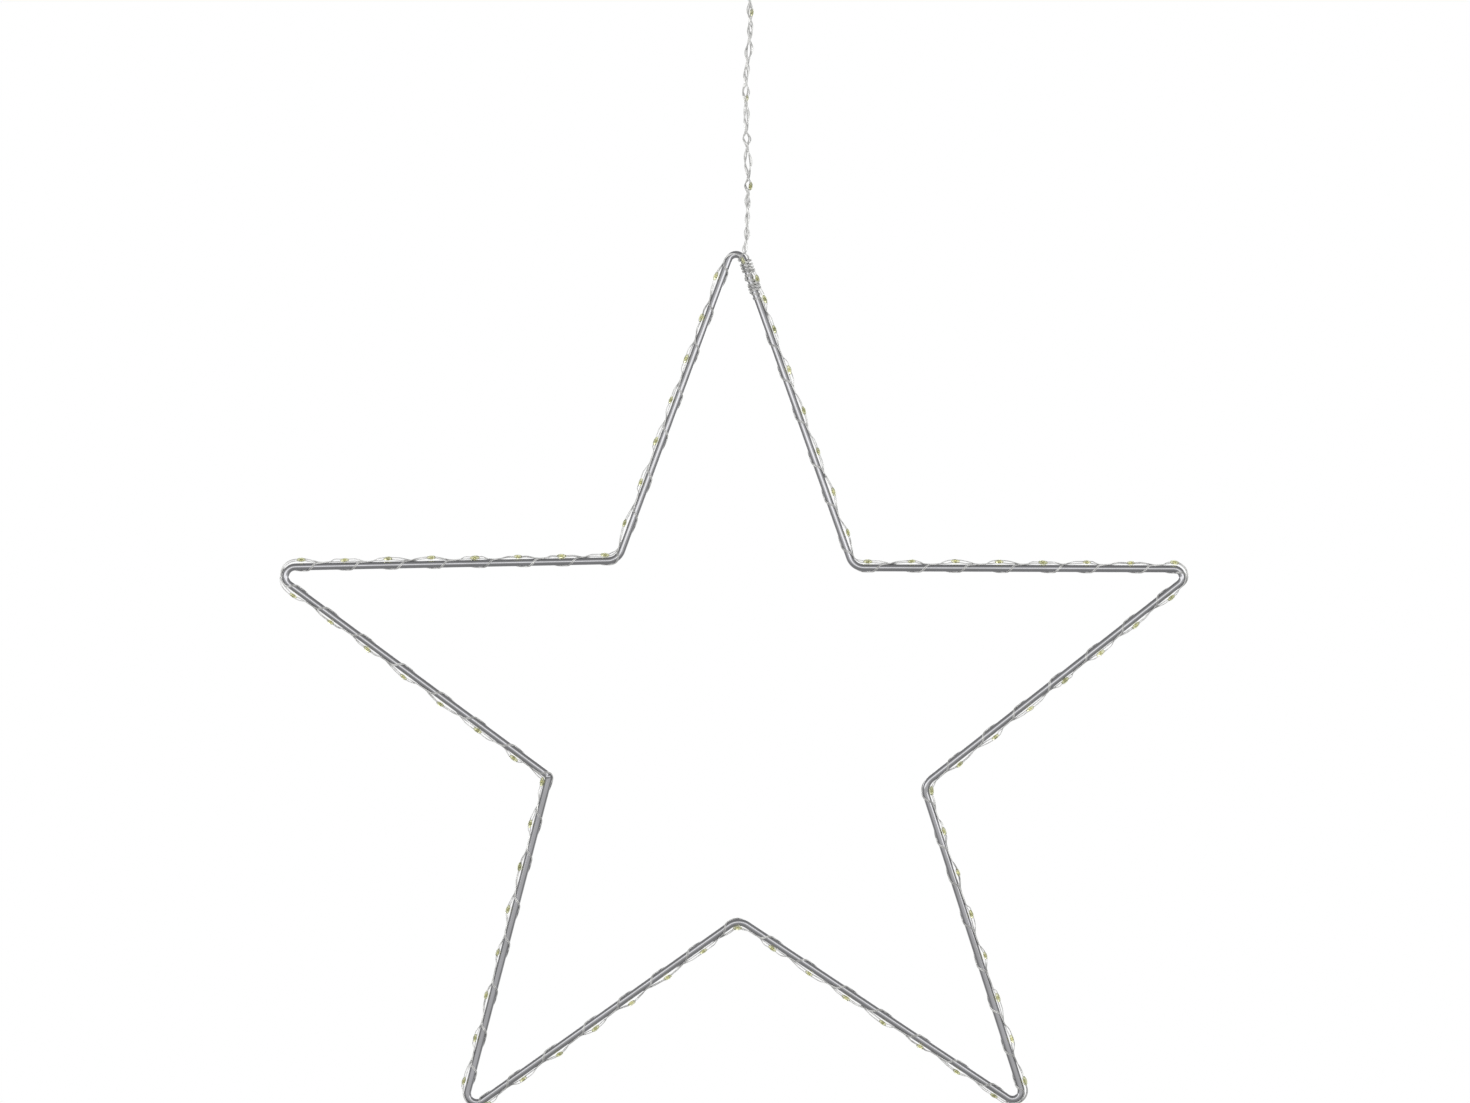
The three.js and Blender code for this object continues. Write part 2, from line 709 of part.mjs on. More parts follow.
// A plate that joins one cell's flat end, by a spring, to the next cell's nub.
function bridgeContact(k) {
  const way = -cellWay(k);
  const plate = contactPlate(way, ...plateSpan(k, k + 1));
  return shape(plate, { joined: [contactSpring(way, cellZ(k))] });
}

function circuitBoard() {
  const low = [-boardWidth / 2, boardY - boardThickness / 2, boardZ - boardHeight / 2];
  const high = [boardWidth / 2, boardBack, boardZ + boardHeight / 2];
  const holes = postPlaces.map((x) => {
    const hole = bar(screwDiameter / 2 + clearance, low[1] - overrun, high[1] + overrun, "y", 12);
    return hole.translate(x, 0, boardZ);
  });
  return shape(block(low, high), { cut: holes });
}

function boardScrew(x) {
  const under = boardBack + clearance;
  const top = under + screwHeadHeight;
  const profile = [
    [0, under - screwLength],
    [screwDiameter / 2, under - screwLength + screwDiameter / 2],
    [screwDiameter / 2, under],
    [screwHeadDiameter / 2, under],
    [screwHeadDiameter / 2, under + screwHeadHeight / 2],
    [screwHeadDiameter / 4, top],
    [0, top],
  ];
  const body = new THREE.LatheGeometry(profile.map(([r, y]) => new THREE.Vector2(r, y)), 16);
  const half = screwSlot / 2;
  const reach = screwHeadDiameter / 3;
  const depth = top - screwHeadHeight / 2;
  const across = block([-reach, depth, -half], [reach, top + overrun, half]);
  const upright = block([-half, depth, -reach], [half, top + overrun, reach]);
  return shape(body, { cut: [across, upright] }).translate(x, 0, boardZ);
}

// A block standing on the back of the board.
function onBoard(x, z, [width, depth, height]) {
  const front = boardBack + clearance;
  return block([x - width / 2, front, z - height / 2], [x + width / 2, front + depth, z + height / 2]);
}

function crystal() {
  const r = crystalDiameter / 2;
  const middle = boardBack + clearance + r;
  const half = crystalLength / 2;
  return bar(r, boardZ - half, boardZ + half, "z", 14).translate(crystalPlace, middle, 0);
}

function resistor() {
  const r = resistorDiameter / 2;
  const h = resistorLength / 2;
  const profile = [
    [0, -h],
    [r, -h],
    [r, -h / 2],
    [r * 0.8, -h / 3],
    [r * 0.8, h / 3],
    [r, h / 2],
    [r, h],
    [0, h],
  ];
  const geometry = new THREE.LatheGeometry(profile.map(([x, y]) => new THREE.Vector2(x, y)), 14);
  return geometry.rotateZ(Math.PI / 2).translate(resistorPlace, boardBack + clearance + r, boardZ);
}

function switchBody() {
  const body = onBoard(switchPlace, switchBottom + switchSize[2] / 2, switchSize);
  const reach = knobSize[0] / 2 + knobTravel + clearance;
  const half = knobSize[1] / 2 + clearance;
  const room = block(
    [switchPlace - reach, switchY - half, switchBottom - overrun],
    [switchPlace + reach, switchY + half, switchBottom + knobRoot + clearance],
  );
  return shape(body, { cut: [room] });
}

function switchKnob() {
  const top = switchBottom + knobRoot;
  const [halfX, halfY] = [knobSize[0] / 2, knobSize[1] / 2];
  const low = [switchPlace - halfX, switchY - halfY, top - knobSize[2]];
  return block(low, [switchPlace + halfX, switchY + halfY, top]);
}

function strainRelief() {
  const profile = [
    [0, boxBottom - grommetNoseLength],
    [grommetNose / 2, boxBottom - grommetNoseLength],
    [grommetFlange / 2 - grommetLip, boxBottom - clearance - grommetLip],
    [grommetFlange / 2, boxBottom - clearance - grommetLip / 2],
    [grommetFlange / 2, boxBottom - clearance],
    [grommetNeck / 2, boxBottom - clearance],
    [grommetNeck / 2, bayBottom + clearance],
    [grommetFlange / 2, bayBottom + clearance],
    [grommetFlange / 2, bayBottom + clearance + grommetLip],
    [0, bayBottom + clearance + grommetLip],
  ];
  const geometry = new THREE.LatheGeometry(profile.map(([r, z]) => new THREE.Vector2(r, z)), 20);
  return geometry.rotateX(Math.PI / 2);
}

// The lead's end inside the box, from the grommet up to the board.
function leadTail() {
  const start = bayBottom + 2 * clearance + grommetLip;
  const r = tailDiameter / 2;
  const y = boardBack + clearance + r;
  const stops = [
    [0, start],
    [0, start + tailDiameter],
    [y / 2, start + 2 * tailDiameter],
    [y, start + 3.5 * tailDiameter],
    [y, start + 5 * tailDiameter],
  ];
  const path = stops.map(([back, z]) => ({ point: new THREE.Vector3(0, back, z), girth: r }));
  return tube(path, leadSides);
}

// Finishes
const steel = { color: 0xc9c9ce, roughness: 0.18, metalness: 1 };
const silverWire = { color: 0xb8b8bc, roughness: 0.35, metalness: 0.8 };
const whitePlastic = { color: 0xeeeeea, roughness: 0.5, metalness: 0 };
const contactSteel = { color: 0xbdbab2, roughness: 0.3, metalness: 1 };
const cellJacket = { color: 0x6f8f7a, roughness: 0.4, metalness: 0.3 };
const boardGreen = { color: 0x2e6b45, roughness: 0.45, metalness: 0 };
const blackPlastic = { color: 0x1c1c1e, roughness: 0.55, metalness: 0 };
const tanCeramic = { color: 0xc8b48c, roughness: 0.5, metalness: 0 };

const star = new THREE.Group();
star.position.set(balanceOffset, 0, starMiddle);
const box = new THREE.Group();
const part = new THREE.Group();
part.add(star, box);

function add(group, name, geometry, finish) {
  const mesh = new THREE.Mesh(geometry, new THREE.MeshStandardMaterial(finish));
  mesh.name = name;
  group.add(mesh);
}

add(star, "star_frame", starFrame(), steel);
add(star, "light_string", lightString(), silverWire);
add(part, "lead", lead(), silverWire);
add(box, "box_housing", boxHousing(), whitePlastic);
add(box, "battery_cover", batteryCover(), whitePlastic);
for (let k = 0; k < cellCount; k++) add(box, "battery_cell_" + (k + 1), cell(k), cellJacket);
add(box, "plus_contact", plusContact(), contactSteel);
add(box, "minus_contact", minusContact(), contactSteel);
for (let k = 0; k + 1 < cellCount; k++) add(box, "bridge_contact_" + (k + 1), bridgeContact(k), contactSteel);
add(box, "circuit_board", circuitBoard(), boardGreen);
postPlaces.forEach((x, k) => add(box, "board_screw_" + (k + 1), boardScrew(x), contactSteel));
add(box, "timer_chip", onBoard(chipPlace, boardZ, chipSize), blackPlastic);
add(box, "crystal", crystal(), contactSteel);
add(box, "resistor", resistor(), tanCeramic);
add(box, "switch_body", switchBody(), contactSteel);
add(box, "switch_knob", switchKnob(), blackPlastic);
add(box, "strain_relief", strainRelief(), whitePlastic);
add(box, "lead_tail", leadTail(), silverWire);

export default part;
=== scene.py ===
# %% [markdown]
# A hanging star: one steel rod bent round to a five-pointed star, wound twice with a fine string of lights,
# and hung on a twisted lead from a battery box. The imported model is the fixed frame, and every piece made
# here goes where that model has it, in metres, with Z up.

# %% The frame
import math
import random

import bmesh
import bpy
from mathutils import Matrix, Vector, noise


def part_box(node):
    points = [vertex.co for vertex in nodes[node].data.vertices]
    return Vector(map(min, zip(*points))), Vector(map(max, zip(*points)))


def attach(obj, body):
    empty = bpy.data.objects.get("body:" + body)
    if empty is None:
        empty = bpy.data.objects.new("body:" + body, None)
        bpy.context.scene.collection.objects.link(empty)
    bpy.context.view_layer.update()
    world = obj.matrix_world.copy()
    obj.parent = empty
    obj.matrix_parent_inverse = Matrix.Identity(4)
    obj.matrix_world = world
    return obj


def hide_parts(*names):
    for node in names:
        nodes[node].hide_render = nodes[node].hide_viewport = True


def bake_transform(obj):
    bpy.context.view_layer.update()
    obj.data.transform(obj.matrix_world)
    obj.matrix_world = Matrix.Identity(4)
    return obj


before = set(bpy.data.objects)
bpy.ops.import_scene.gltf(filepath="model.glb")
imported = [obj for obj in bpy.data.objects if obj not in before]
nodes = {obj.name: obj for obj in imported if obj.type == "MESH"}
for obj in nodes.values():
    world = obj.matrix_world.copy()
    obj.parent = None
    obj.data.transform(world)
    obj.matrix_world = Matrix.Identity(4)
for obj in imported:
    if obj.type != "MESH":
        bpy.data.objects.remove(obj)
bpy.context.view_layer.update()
MM = 0.001

# %% [markdown]
# The camera comes first, because the lead is placed by what the camera sees of it. The star hangs flat to the
# picture, so one number sets the scale: how many millimetres a pixel covers at the star. A long lens far away
# keeps the wire straight-sided, as a product photograph does. The picture is turned a little, since the lead,
# which gravity pulls straight, leans in it.

# %% The camera
picture_width, picture_height = 1470, 1103
mm_per_pixel = 0.5556
view_distance = 3.0
view_middle = Vector((-0.0022, 0, -0.3902))
picture_roll = math.radians(1.1)
camera_data = bpy.data.cameras.new("camera")
camera_data.sensor_width = 36
camera_data.lens = camera_data.sensor_width * view_distance / (picture_width * mm_per_pixel * MM)
camera = bpy.data.objects.new("camera", camera_data)
camera.location = view_middle - Vector((0, view_distance, 0))
camera.rotation_euler = (math.pi / 2, -picture_roll, 0)
bpy.context.scene.collection.objects.link(camera)
bpy.context.scene.camera = camera
bpy.context.scene.view_settings.view_transform = "Standard"
print("camera: lens", round(camera_data.lens, 1), "mm")


# %% Helpers for finished pieces and wires
def finished(mesh, name, smooth=True):
    """A mesh as an object at the origin, shaded smooth or flat."""
    for face in mesh.polygons:
        face.use_smooth = smooth
    piece = bpy.data.objects.new(name, mesh)
    bpy.context.scene.collection.objects.link(piece)
    return piece


def made(shape, name, smooth=True):
    """A finished piece of a bmesh, which is freed."""
    mesh = bpy.data.meshes.new(name)
    shape.to_mesh(mesh)
    shape.free()
    return finished(mesh, name, smooth)


def wires(name, routes, radius, end_radius=None, taper=6 * MM):
    """Round wires along lists of points, as one mesh. With an end radius, they thin to it over the taper."""
    curve = bpy.data.curves.new(name + "_line", "CURVE")
    curve.dimensions = "3D"
    curve.bevel_depth = radius
    curve.bevel_resolution = 1
    curve.use_fill_caps = True
    for route in routes:
        spline = curve.splines.new("POLY")
        spline.points.add(len(route) - 1)
        for spot, place in zip(spline.points, route):
            spot.co = (*place, 1)
            left = (place - route[-1]).length
            if end_radius and left < taper:
                spot.radius = (end_radius + (radius - end_radius) * left / taper) / radius
    line = bpy.data.objects.new(name + "_line", curve)
    bpy.context.scene.collection.objects.link(line)
    mesh = bpy.data.meshes.new_from_object(line.evaluated_get(bpy.context.evaluated_depsgraph_get()))
    bpy.data.objects.remove(line)
    mesh.materials.clear()
    piece = finished(mesh, name)
    print(name + ":", len(mesh.polygons), "faces")
    return piece


# %% [markdown]
# The lead is the string's own wire, doubled: two strands, each a pair of fine wires, loosely twisted round
# each other. Its coat is thicker than the string's and thins out just above the star. It hangs taut, because
# the star pulls it straight. Each strand runs round the lead's middle line, half a turn from the other, and
# the places where they cross in the picture say how fast they turn. The lead is made in two lengths: a short
# one that leaves the box, and a long one below it.

# %% The lead's route
wire_radius, lead_wire_radius = 0.26 * MM, 0.38 * MM
pair_half_gap = 0.31 * MM
lead_half_gap = 0.52 * MM
# The lead's gentle waver, in millimetres: how far down, to the right, and back
lead_route = [
    (0, 0, 0), (9, 0.3, 0), (19, 0.7, 0.1), (28, 0.4, 0.3), (38, -0.5, 0.3), (47, -1.2, 0.1), (57, -1.1, -0.1),
    (66, -0.5, -0.3), (76, -0.5, -0.3), (85, 0.2, -0.1), (95, 0.9, 0), (104, 1.2, 0.1), (114, 1.1, 0.1),
    (123, 1.1, 0), (133, 1.1, 0), (142.5, 0, 0),
]
lead_low, lead_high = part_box("lead")
lead_top, lead_bottom = lead_high.z, lead_low.z
# The rows of the picture where the strands cross, and how far out, in millimetres, the loop below stands
lead_loops = [
    (-14, 0.8), (2, 1.1), (20, 1.0), (38, 1.5), (63, 1.0), (82, 1.5), (101, 1.0), (131, 1.8), (146, 1.6),
    (178, 1.6), (192, 0.9), (210, 0.6), (226, 0.9), (241, 0.8), (256, 0.8),
]
crossing_reach = 0.75
strand_turn = 17 * MM
root_length = 32 * MM
lead_split = lead_top - root_length
print("lead:", round((lead_top - lead_bottom) / MM, 1), "mm, in two lengths of", round(root_length / MM, 1),
      "and", round((lead_split - lead_bottom) / MM, 1), "mm")


def picture_height_at(pixel):
    """How high a row of the picture lies, at the star."""
    return view_middle.z + (picture_height / 2 - pixel) * mm_per_pixel * MM


def lead_middle(z):
    """The lead's middle line at a height."""
    down = (lead_top - z) / MM
    for (a, right_a, back_a), (b, right_b, back_b) in zip(lead_route, lead_route[1:]):
        if down <= b or b == lead_route[-1][0]:
            share = min(max((down - a) / (b - a), 0), 1)
            share = share * share * (3 - 2 * share)
            right = right_a + (right_b - right_a) * share
            back = back_a + (back_b - back_a) * share
            return Vector((right * MM, back * MM, z))


def strand_swing(z):
    """How far a strand has turned at a height, half a turn from crossing to crossing, and how far out it is."""
    for k, ((upper_pixel, reach), (lower_pixel, _)) in enumerate(zip(lead_loops, lead_loops[1:])):
        upper, lower = picture_height_at(upper_pixel), picture_height_at(lower_pixel)
        if z >= lower:
            share = (upper - z) / (upper - lower)
            out = crossing_reach + (reach - crossing_reach) * math.sin(math.pi * share)
            return math.pi * (k + share + 0.5), out * MM


def strand_point(z, strand, wire):
    """A wire's place at a height: its strand goes round the lead, and it goes round its strand."""
    angle, reach = strand_swing(z)
    angle += strand * math.pi
    place = lead_middle(z) + reach * Vector((math.cos(angle), math.sin(angle), 0))
    own = 2 * math.pi * z / strand_turn + wire * math.pi + strand
    return place + lead_half_gap * Vector((math.cos(own), math.sin(own), 0))


# %% The lead's two lengths
lead_step = 0.9 * MM


def lead_piece(name, upper, lower, end_radius=None):
    """The four wires between two heights, and the middle line that they follow."""
    steps = math.ceil((upper - lower) / lead_step)
    heights = [upper + (lower - upper) * k / steps for k in range(steps + 1)]
    routes = [[strand_point(z, strand, wire) for z in heights] for strand in (0, 1) for wire in (0, 1)]
    piece = wires(name, routes, lead_wire_radius, end_radius)
    return piece, [lead_middle(z) for z in heights]


lead_root, root_path = lead_piece("lead_root", lead_top, lead_split)
lead_strands, strands_path = lead_piece("lead_strands", lead_split, lead_bottom, wire_radius)

# %% [markdown]
# Each light is a tiny yellow chip across the two wires, sealed in a drop of clear resin. A stretched ball
# gives the drop, and a bevelled block the chip. All the drops are one mesh and all the chips another, because
# they never move apart. A small change of size and slant from one light to the next keeps them from looking
# stamped.

# %% Helpers for the lights
drop_half = Vector((2.5, 1.15, 1.15)) * MM
chip_size = Vector((1.7, 0.95, 0.6)) * MM
chip_edge = 0.1 * MM
drop_sides, drop_rings = 12, 8
size_play, slant_play = 0.1, 0.12


def placed(middle, ahead, between):
    """The matrix that stands something at a middle, X ahead and Y from one wire of the pair to the other."""
    ahead = ahead.normalized()
    upward = ahead.cross(between).normalized()
    turn = Matrix((ahead, upward.cross(ahead), upward)).transposed().to_4x4()
    return Matrix.Translation(middle) @ turn


def light_meshes(name, places, seed):
    """The drops and the chips at a list of places."""
    chance = random.Random(seed)
    drops, chips = bmesh.new(), bmesh.new()
    for place in places:
        size = chance.uniform(1 - size_play, 1 + size_play)
        slanted = place @ Matrix.Rotation(chance.uniform(-slant_play, slant_play), 4, "Z")
        stretch = Matrix.Diagonal((*(drop_half * size), 1))
        bmesh.ops.create_uvsphere(
            drops, u_segments=drop_sides, v_segments=drop_rings, radius=1,
            matrix=slanted @ stretch @ Matrix.Rotation(math.pi / 2, 4, "Y"),
        )
        bmesh.ops.create_cube(chips, size=1, matrix=slanted @ Matrix.Diagonal((*chip_size, 1)))
    bmesh.ops.bevel(chips, geom=chips.edges[:], offset=chip_edge, affect="EDGES", segments=1, profile=0.5,
                    material=-1)
    print(name + ":", len(places), "lights")
    return made(drops, name + "_drops"), made(chips, name + "_chips", smooth=False)


# %% The three lights on the lead
lead_light_pixels = [12, 99, 186]
lead_light_places = []
for pixel in lead_light_pixels:
    height = picture_height_at(pixel)
    upper = (strand_point(height + MM, 0, 0) + strand_point(height + MM, 0, 1)) / 2
    lower = (strand_point(height - MM, 0, 0) + strand_point(height - MM, 0, 1)) / 2
    between = strand_point(height, 0, 1) - strand_point(height, 0, 0)
    lead_light_places.append(placed((upper + lower) / 2, lower - upper, between))
lead_drops, lead_chips = light_meshes("lead_light", lead_light_places, seed=3)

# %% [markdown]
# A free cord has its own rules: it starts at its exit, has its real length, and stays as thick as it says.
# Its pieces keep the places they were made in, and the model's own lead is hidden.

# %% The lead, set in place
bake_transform(lead_root)
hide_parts("lead")
for piece in (lead_strands, lead_drops, lead_chips):
    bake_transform(piece)
print("lead: declared, with", len(lead_light_places), "lights")


# %% Helpers for shader nodes
def feed(tree, sockets, values):
    """Gives each socket what comes out of another one, or a plain value."""
    for socket, value in zip(sockets, values):
        if isinstance(value, bpy.types.NodeSocket):
            tree.links.new(value, socket)
        else:
            socket.default_value = value


def feed_by_name(tree, node, **values):
    """Feeds a node's sockets by name. An underscore stands for a space."""
    feed(tree, [node.inputs[name.replace("_", " ")] for name in values], values.values())


def new_node(tree, kind, **values):
    """A shader node of a kind, fed by name."""
    node = tree.nodes.new("ShaderNode" + kind)
    feed_by_name(tree, node, **values)
    return node


def own_place(tree):
    """Where a point lies in its piece's own frame."""
    return new_node(tree, "TexCoord").outputs["Object"]


def reckoned(tree, operation, *values):
    """What a sum makes of sockets and plain numbers."""
    node = new_node(tree, "Math")
    node.operation = operation
    feed(tree, node.inputs, values)
    return node.outputs[0]


def layered(tree, cover, under, over):
    """One shader over another, as far as the cover goes."""
    node = new_node(tree, "MixShader")
    feed(tree, node.inputs, (cover, under, over))
    return node.outputs[0]


def painted(tree, cover, under, over):
    """One colour over another, as far as the cover goes."""
    node = new_node(tree, "Mix")
    node.data_type = "RGBA"
    feed(tree, (node.inputs["Factor"], node.inputs[6], node.inputs[7]), (cover, under, over))
    return node.outputs[2]


def seen_directly(tree):
    """1 for a ray from the camera, or one that metal or glass passes on."""
    rays = new_node(tree, "LightPath")
    either = reckoned(tree, "MAXIMUM", rays.outputs["Is Camera Ray"], rays.outputs["Is Glossy Ray"])
    return reckoned(tree, "MAXIMUM", either, rays.outputs["Is Transmission Ray"])


# %% [markdown]
# The world is plain white to the camera and to metal and glass, and a soft grey to everything else, so that
# white plastic doesn't burn out. Two soft boxes give the light, one in front and one behind, because the star
# is looked at from both sides.
#
# Polished steel shows what stands round it, so the studio round the star is a stage set that only reflections
# see. In the picture each rod has a pale line near its middle and darkens to both edges. The line lies higher
# on the low rods than on the high ones, so a band of light stands before and behind the star at one height.
# It is open at the sides, because a rod that hangs upright would show nothing but light otherwise. Round it
# the walls are pale before and behind, and darker at the sides, overhead and below.

# %% The world
soft_grey = 0.5
room = bpy.data.worlds.new("room")
bpy.context.scene.world = room
room.use_nodes = True
tree = room.node_tree
plain = new_node(tree, "Background", Color=(1, 1, 1, 1), Strength=soft_grey)
white = new_node(tree, "Background", Color=(1, 1, 1, 1), Strength=1)
surface = layered(tree, seen_directly(tree), plain.outputs[0], white.outputs[0])
tree.links.new(surface, tree.nodes["World Output"].inputs["Surface"])
print("world: white to the camera,", soft_grey, "to the rest")


# %% The soft boxes
studio_middle = -0.45


def soft_box(name, place, width, height, power):
    """A broad lamp that looks at the star, and that reflections don't show."""
    lamp = bpy.data.lights.new(name, "AREA")
    lamp.shape = "RECTANGLE"
    lamp.size, lamp.size_y = width, height
    lamp.energy = power
    stand = bpy.data.objects.new(name, lamp)
    stand.location = place
    stand.rotation_euler = (Vector((0, 0, studio_middle)) - Vector(place)).to_track_quat("-Z", "Y").to_euler()
    stand.visible_glossy = False
    bpy.context.scene.collection.objects.link(stand)
    print(name + ":", width, "by", height, "m,", power, "W")


soft_box("front_box", (-0.8, -2.7, 1.3), width=2.4, height=1.6, power=42)
soft_box("back_box", (0.8, 2.7, 1.5), width=2.4, height=1.2, power=30)


# %% The studio that reflections see
studio_radius = 7.0
wall_shade = 0.85
# Each coat: the direction that it goes by, where it begins and is full on a scale of -1 to 1, and its shade
wall_coats = [("back", 0.6, 0.3, 0.4), ("up", 0.3, 0.85, 0.36), ("up", -0.12, -0.65, 0.42)]
band_low, band_high, band_radius, band_half_width, band_shade = -0.46, -0.18, 1.0, 0.85, 2.1


def reflected(shape, name, material):
    """A stage piece that only glossy rays see."""
    piece = made(shape, name)
    piece.data.materials.append(material)
    piece.visible_camera = piece.visible_diffuse = piece.visible_transmission = piece.visible_shadow = False


def glowing(name):
    """A material that only glows, its nodes and the one that glows."""
    material = bpy.data.materials.new(name)
    material.use_nodes = True
    tree = material.node_tree
    tree.nodes.clear()
    glow = new_node(tree, "Emission")
    new_node(tree, "OutputMaterial", Surface=glow.outputs[0])
    return material, tree, glow


def painted_walls():
    """The walls' shade, worked out from the direction in which they lie: a base, and soft coats over it."""
    material, tree, glow = glowing("studio_walls")
    direction = new_node(tree, "Mapping", Vector=own_place(tree), Scale=Vector((1, 1, 1)) / studio_radius,
                         Location=(0, 0, -studio_middle / studio_radius))
    axes = new_node(tree, "SeparateXYZ", Vector=direction.outputs["Vector"])
    ways = {"back": reckoned(tree, "ABSOLUTE", axes.outputs["Y"]), "up": axes.outputs["Z"]}
    value = wall_shade
    for towards, begins, full, shade in wall_coats:
        step = new_node(tree, "MapRange", Value=ways[towards], From_Min=begins, From_Max=full)
        step.interpolation_type = "SMOOTHSTEP"
        coat = new_node(tree, "Mix")
        feed(tree, (coat.inputs[0], coat.inputs[2], coat.inputs[3]), (step.outputs["Result"], value, shade))
        value = coat.outputs[0]
    tree.links.new(value, glow.inputs["Strength"])
    return material


walls = bmesh.new()
bmesh.ops.create_uvsphere(walls, u_segments=48, v_segments=32, radius=studio_radius,
                          matrix=Matrix.Translation((0, 0, studio_middle)))
reflected(walls, "studio_walls", painted_walls())
band = bmesh.new()
bmesh.ops.create_cone(band, cap_ends=False, segments=96, radius1=band_radius, radius2=band_radius,
                      depth=band_high - band_low, matrix=Matrix.Translation((0, 0, (band_low + band_high) / 2)))
band_sides = [face for face in band.faces if abs(face.calc_center_median().x) > band_half_width]
bmesh.ops.delete(band, geom=band_sides, context="FACES")
band_material, _, band_glow = glowing("light_band")
band_glow.inputs["Strength"].default_value = band_shade
reflected(band, "light_band", band_material)
print("studio: walls of", len(wall_coats) + 1, "shades, and a band of light of",
      round(band_high - band_low, 2), "m")

# %% [markdown]
# The floor is a pale disc far enough below for the star to hang free. To the camera most of its shade is
# plain white, as a paper sweep looks in a product picture, and the rest takes the light and keeps the star's
# shadow.

# %% The floor
floor_radius, floor_height = 2.6, -1.35
disc = bmesh.new()
bmesh.ops.create_circle(disc, cap_ends=True, segments=96, radius=floor_radius,
                        matrix=Matrix.Translation((0, 0, floor_height)))
floor = made(disc, "floor", smooth=False)
floor.visible_glossy = False
print("floor:", 2 * floor_radius, "m across, at", floor_height, "m")

# %% [markdown]
# Every finish is built from the same few nodes: a noise that clouds the colour a little, another that changes
# the gloss, and a fine one that roughens the surface. Object coordinates tie each pattern to the piece, so it
# stays put from every side.

# %% Helpers for finishes
relief_depth = 0.05 * MM
# Where on the noise the first shade ends and the second begins, and how much finer the gloss changes
first_ends, second_begins, gloss_scale = 0.3, 0.7, 2.7


def finish(name, low, high, cloud, gloss, grain, bump=0.05, **settings):
    """A material: two shades of one colour, a range of roughness and a fine grain."""
    material = bpy.data.materials.new(name)
    material.use_nodes = True
    tree = material.node_tree
    place = own_place(tree)

    def cloudy(scale, detail=3.0):
        return new_node(tree, "TexNoise", Vector=place, Scale=scale, Detail=detail).outputs["Fac"]

    shades = new_node(tree, "ValToRGB", Fac=cloudy(cloud))
    for element, where, shade in zip(shades.color_ramp.elements, (first_ends, second_begins), (low, high)):
        element.position, element.color = where, (*shade, 1)
    rough = new_node(tree, "MapRange", Value=cloudy(cloud * gloss_scale), To_Min=gloss[0], To_Max=gloss[1])
    relief = new_node(tree, "Bump", Height=cloudy(grain, 2.0), Strength=bump, Distance=relief_depth)
    feed_by_name(tree, tree.nodes["Principled BSDF"], Base_Color=shades.outputs["Color"],
                 Roughness=rough.outputs["Result"], Normal=relief.outputs["Normal"], **settings)
    return material


def give(material, *pieces):
    """Puts a material on pieces, in place of what they have."""
    for piece in pieces:
        piece.data.materials.clear()
        piece.data.materials.append(material)


# %% The star's finishes
chrome = finish("polished_steel", (0.39, 0.39, 0.40), (0.45, 0.45, 0.47), cloud=45, gloss=(0.1, 0.18),
                grain=700, bump=0.1, Metallic=1.0)
silver = finish("lacquered_wire", (0.48, 0.48, 0.47), (0.96, 0.96, 0.94), cloud=260, gloss=(0.14, 0.26),
                grain=1500, Metallic=0.6)
resin = finish("clear_resin", (0.66, 0.68, 0.40), (0.94, 0.94, 0.70), cloud=40, gloss=(0.05, 0.14),
               grain=500, bump=0.1, Transmission_Weight=0.85, IOR=1.5)
phosphor = finish("yellow_chip", (0.30, 0.29, 0.12), (0.95, 0.92, 0.50), cloud=40, gloss=(0.4, 0.6),
                  grain=3000)
pale_floor = finish("pale_floor", (0.86, 0.86, 0.86), (0.90, 0.90, 0.90), cloud=1.5, gloss=(0.7, 0.8),
                    grain=60, bump=0.02)
give(silver, lead_root, lead_strands)
give(resin, lead_drops)
give(phosphor, lead_chips)
give(pale_floor, floor)
print("finishes:", ", ".join(material.name for material in (chrome, silver, resin, phosphor, pale_floor)))


# %% The floor's white
def whitened(material, amount):
    """Mixes plain white into what the camera sees of a material."""
    tree = material.node_tree
    white = new_node(tree, "Emission")
    share = reckoned(tree, "MULTIPLY", seen_directly(tree), amount)
    lifted = layered(tree, share, tree.nodes["Principled BSDF"].outputs[0], white.outputs[0])
    tree.links.new(lifted, tree.nodes["Material Output"].inputs["Surface"])
    print(material.name + ":", amount, "white to the camera")


floor_white = 0.7
whitened(pale_floor, floor_white)

# %% [markdown]
# The rod was bent by hand at nine corners, and its ends meet at the tenth, so no two corners are quite alike.
# Its middle line is worked out as straight runs and round bends, from each corner's reach and direction.
# Everything on the star is then placed by how far along that line it lies, how far round the rod, and how far
# out.

# %% The star's middle line
tip_reach, inner_reach = 270.8 * MM, 109.4 * MM
rod_radius = 2 * MM
tip_bend, inner_bend, weld_bend = 5 * MM, 8.5 * MM, 2.6 * MM
weld_corner = 3
lead_standoff = 1.5 * MM
balance_offset = 0.75 * MM
half_tip = math.radians(18)
corner_reach_shares = [0.996, 1.03, 1.018, 0.988, 0.981, 0.986, 0.993, 0.994, 0.998, 0.993]
corner_turns = [1.2, 1, 0.6, -1.6, 1.9, 1.5, 2.1, 1.2, 1.8, 0.6]
corner_bend_shares = [0.86, 1, 1.08, 1, 1.04, 1, 0.96, 1, 0.92, 1]
top_bend = tip_bend * corner_bend_shares[0]
tip_drop = tip_reach * corner_reach_shares[0] - top_bend * (1 / math.sin(half_tip) - 1)
star_middle = Vector((balance_offset, lead_bottom - lead_standoff - rod_radius - tip_drop))


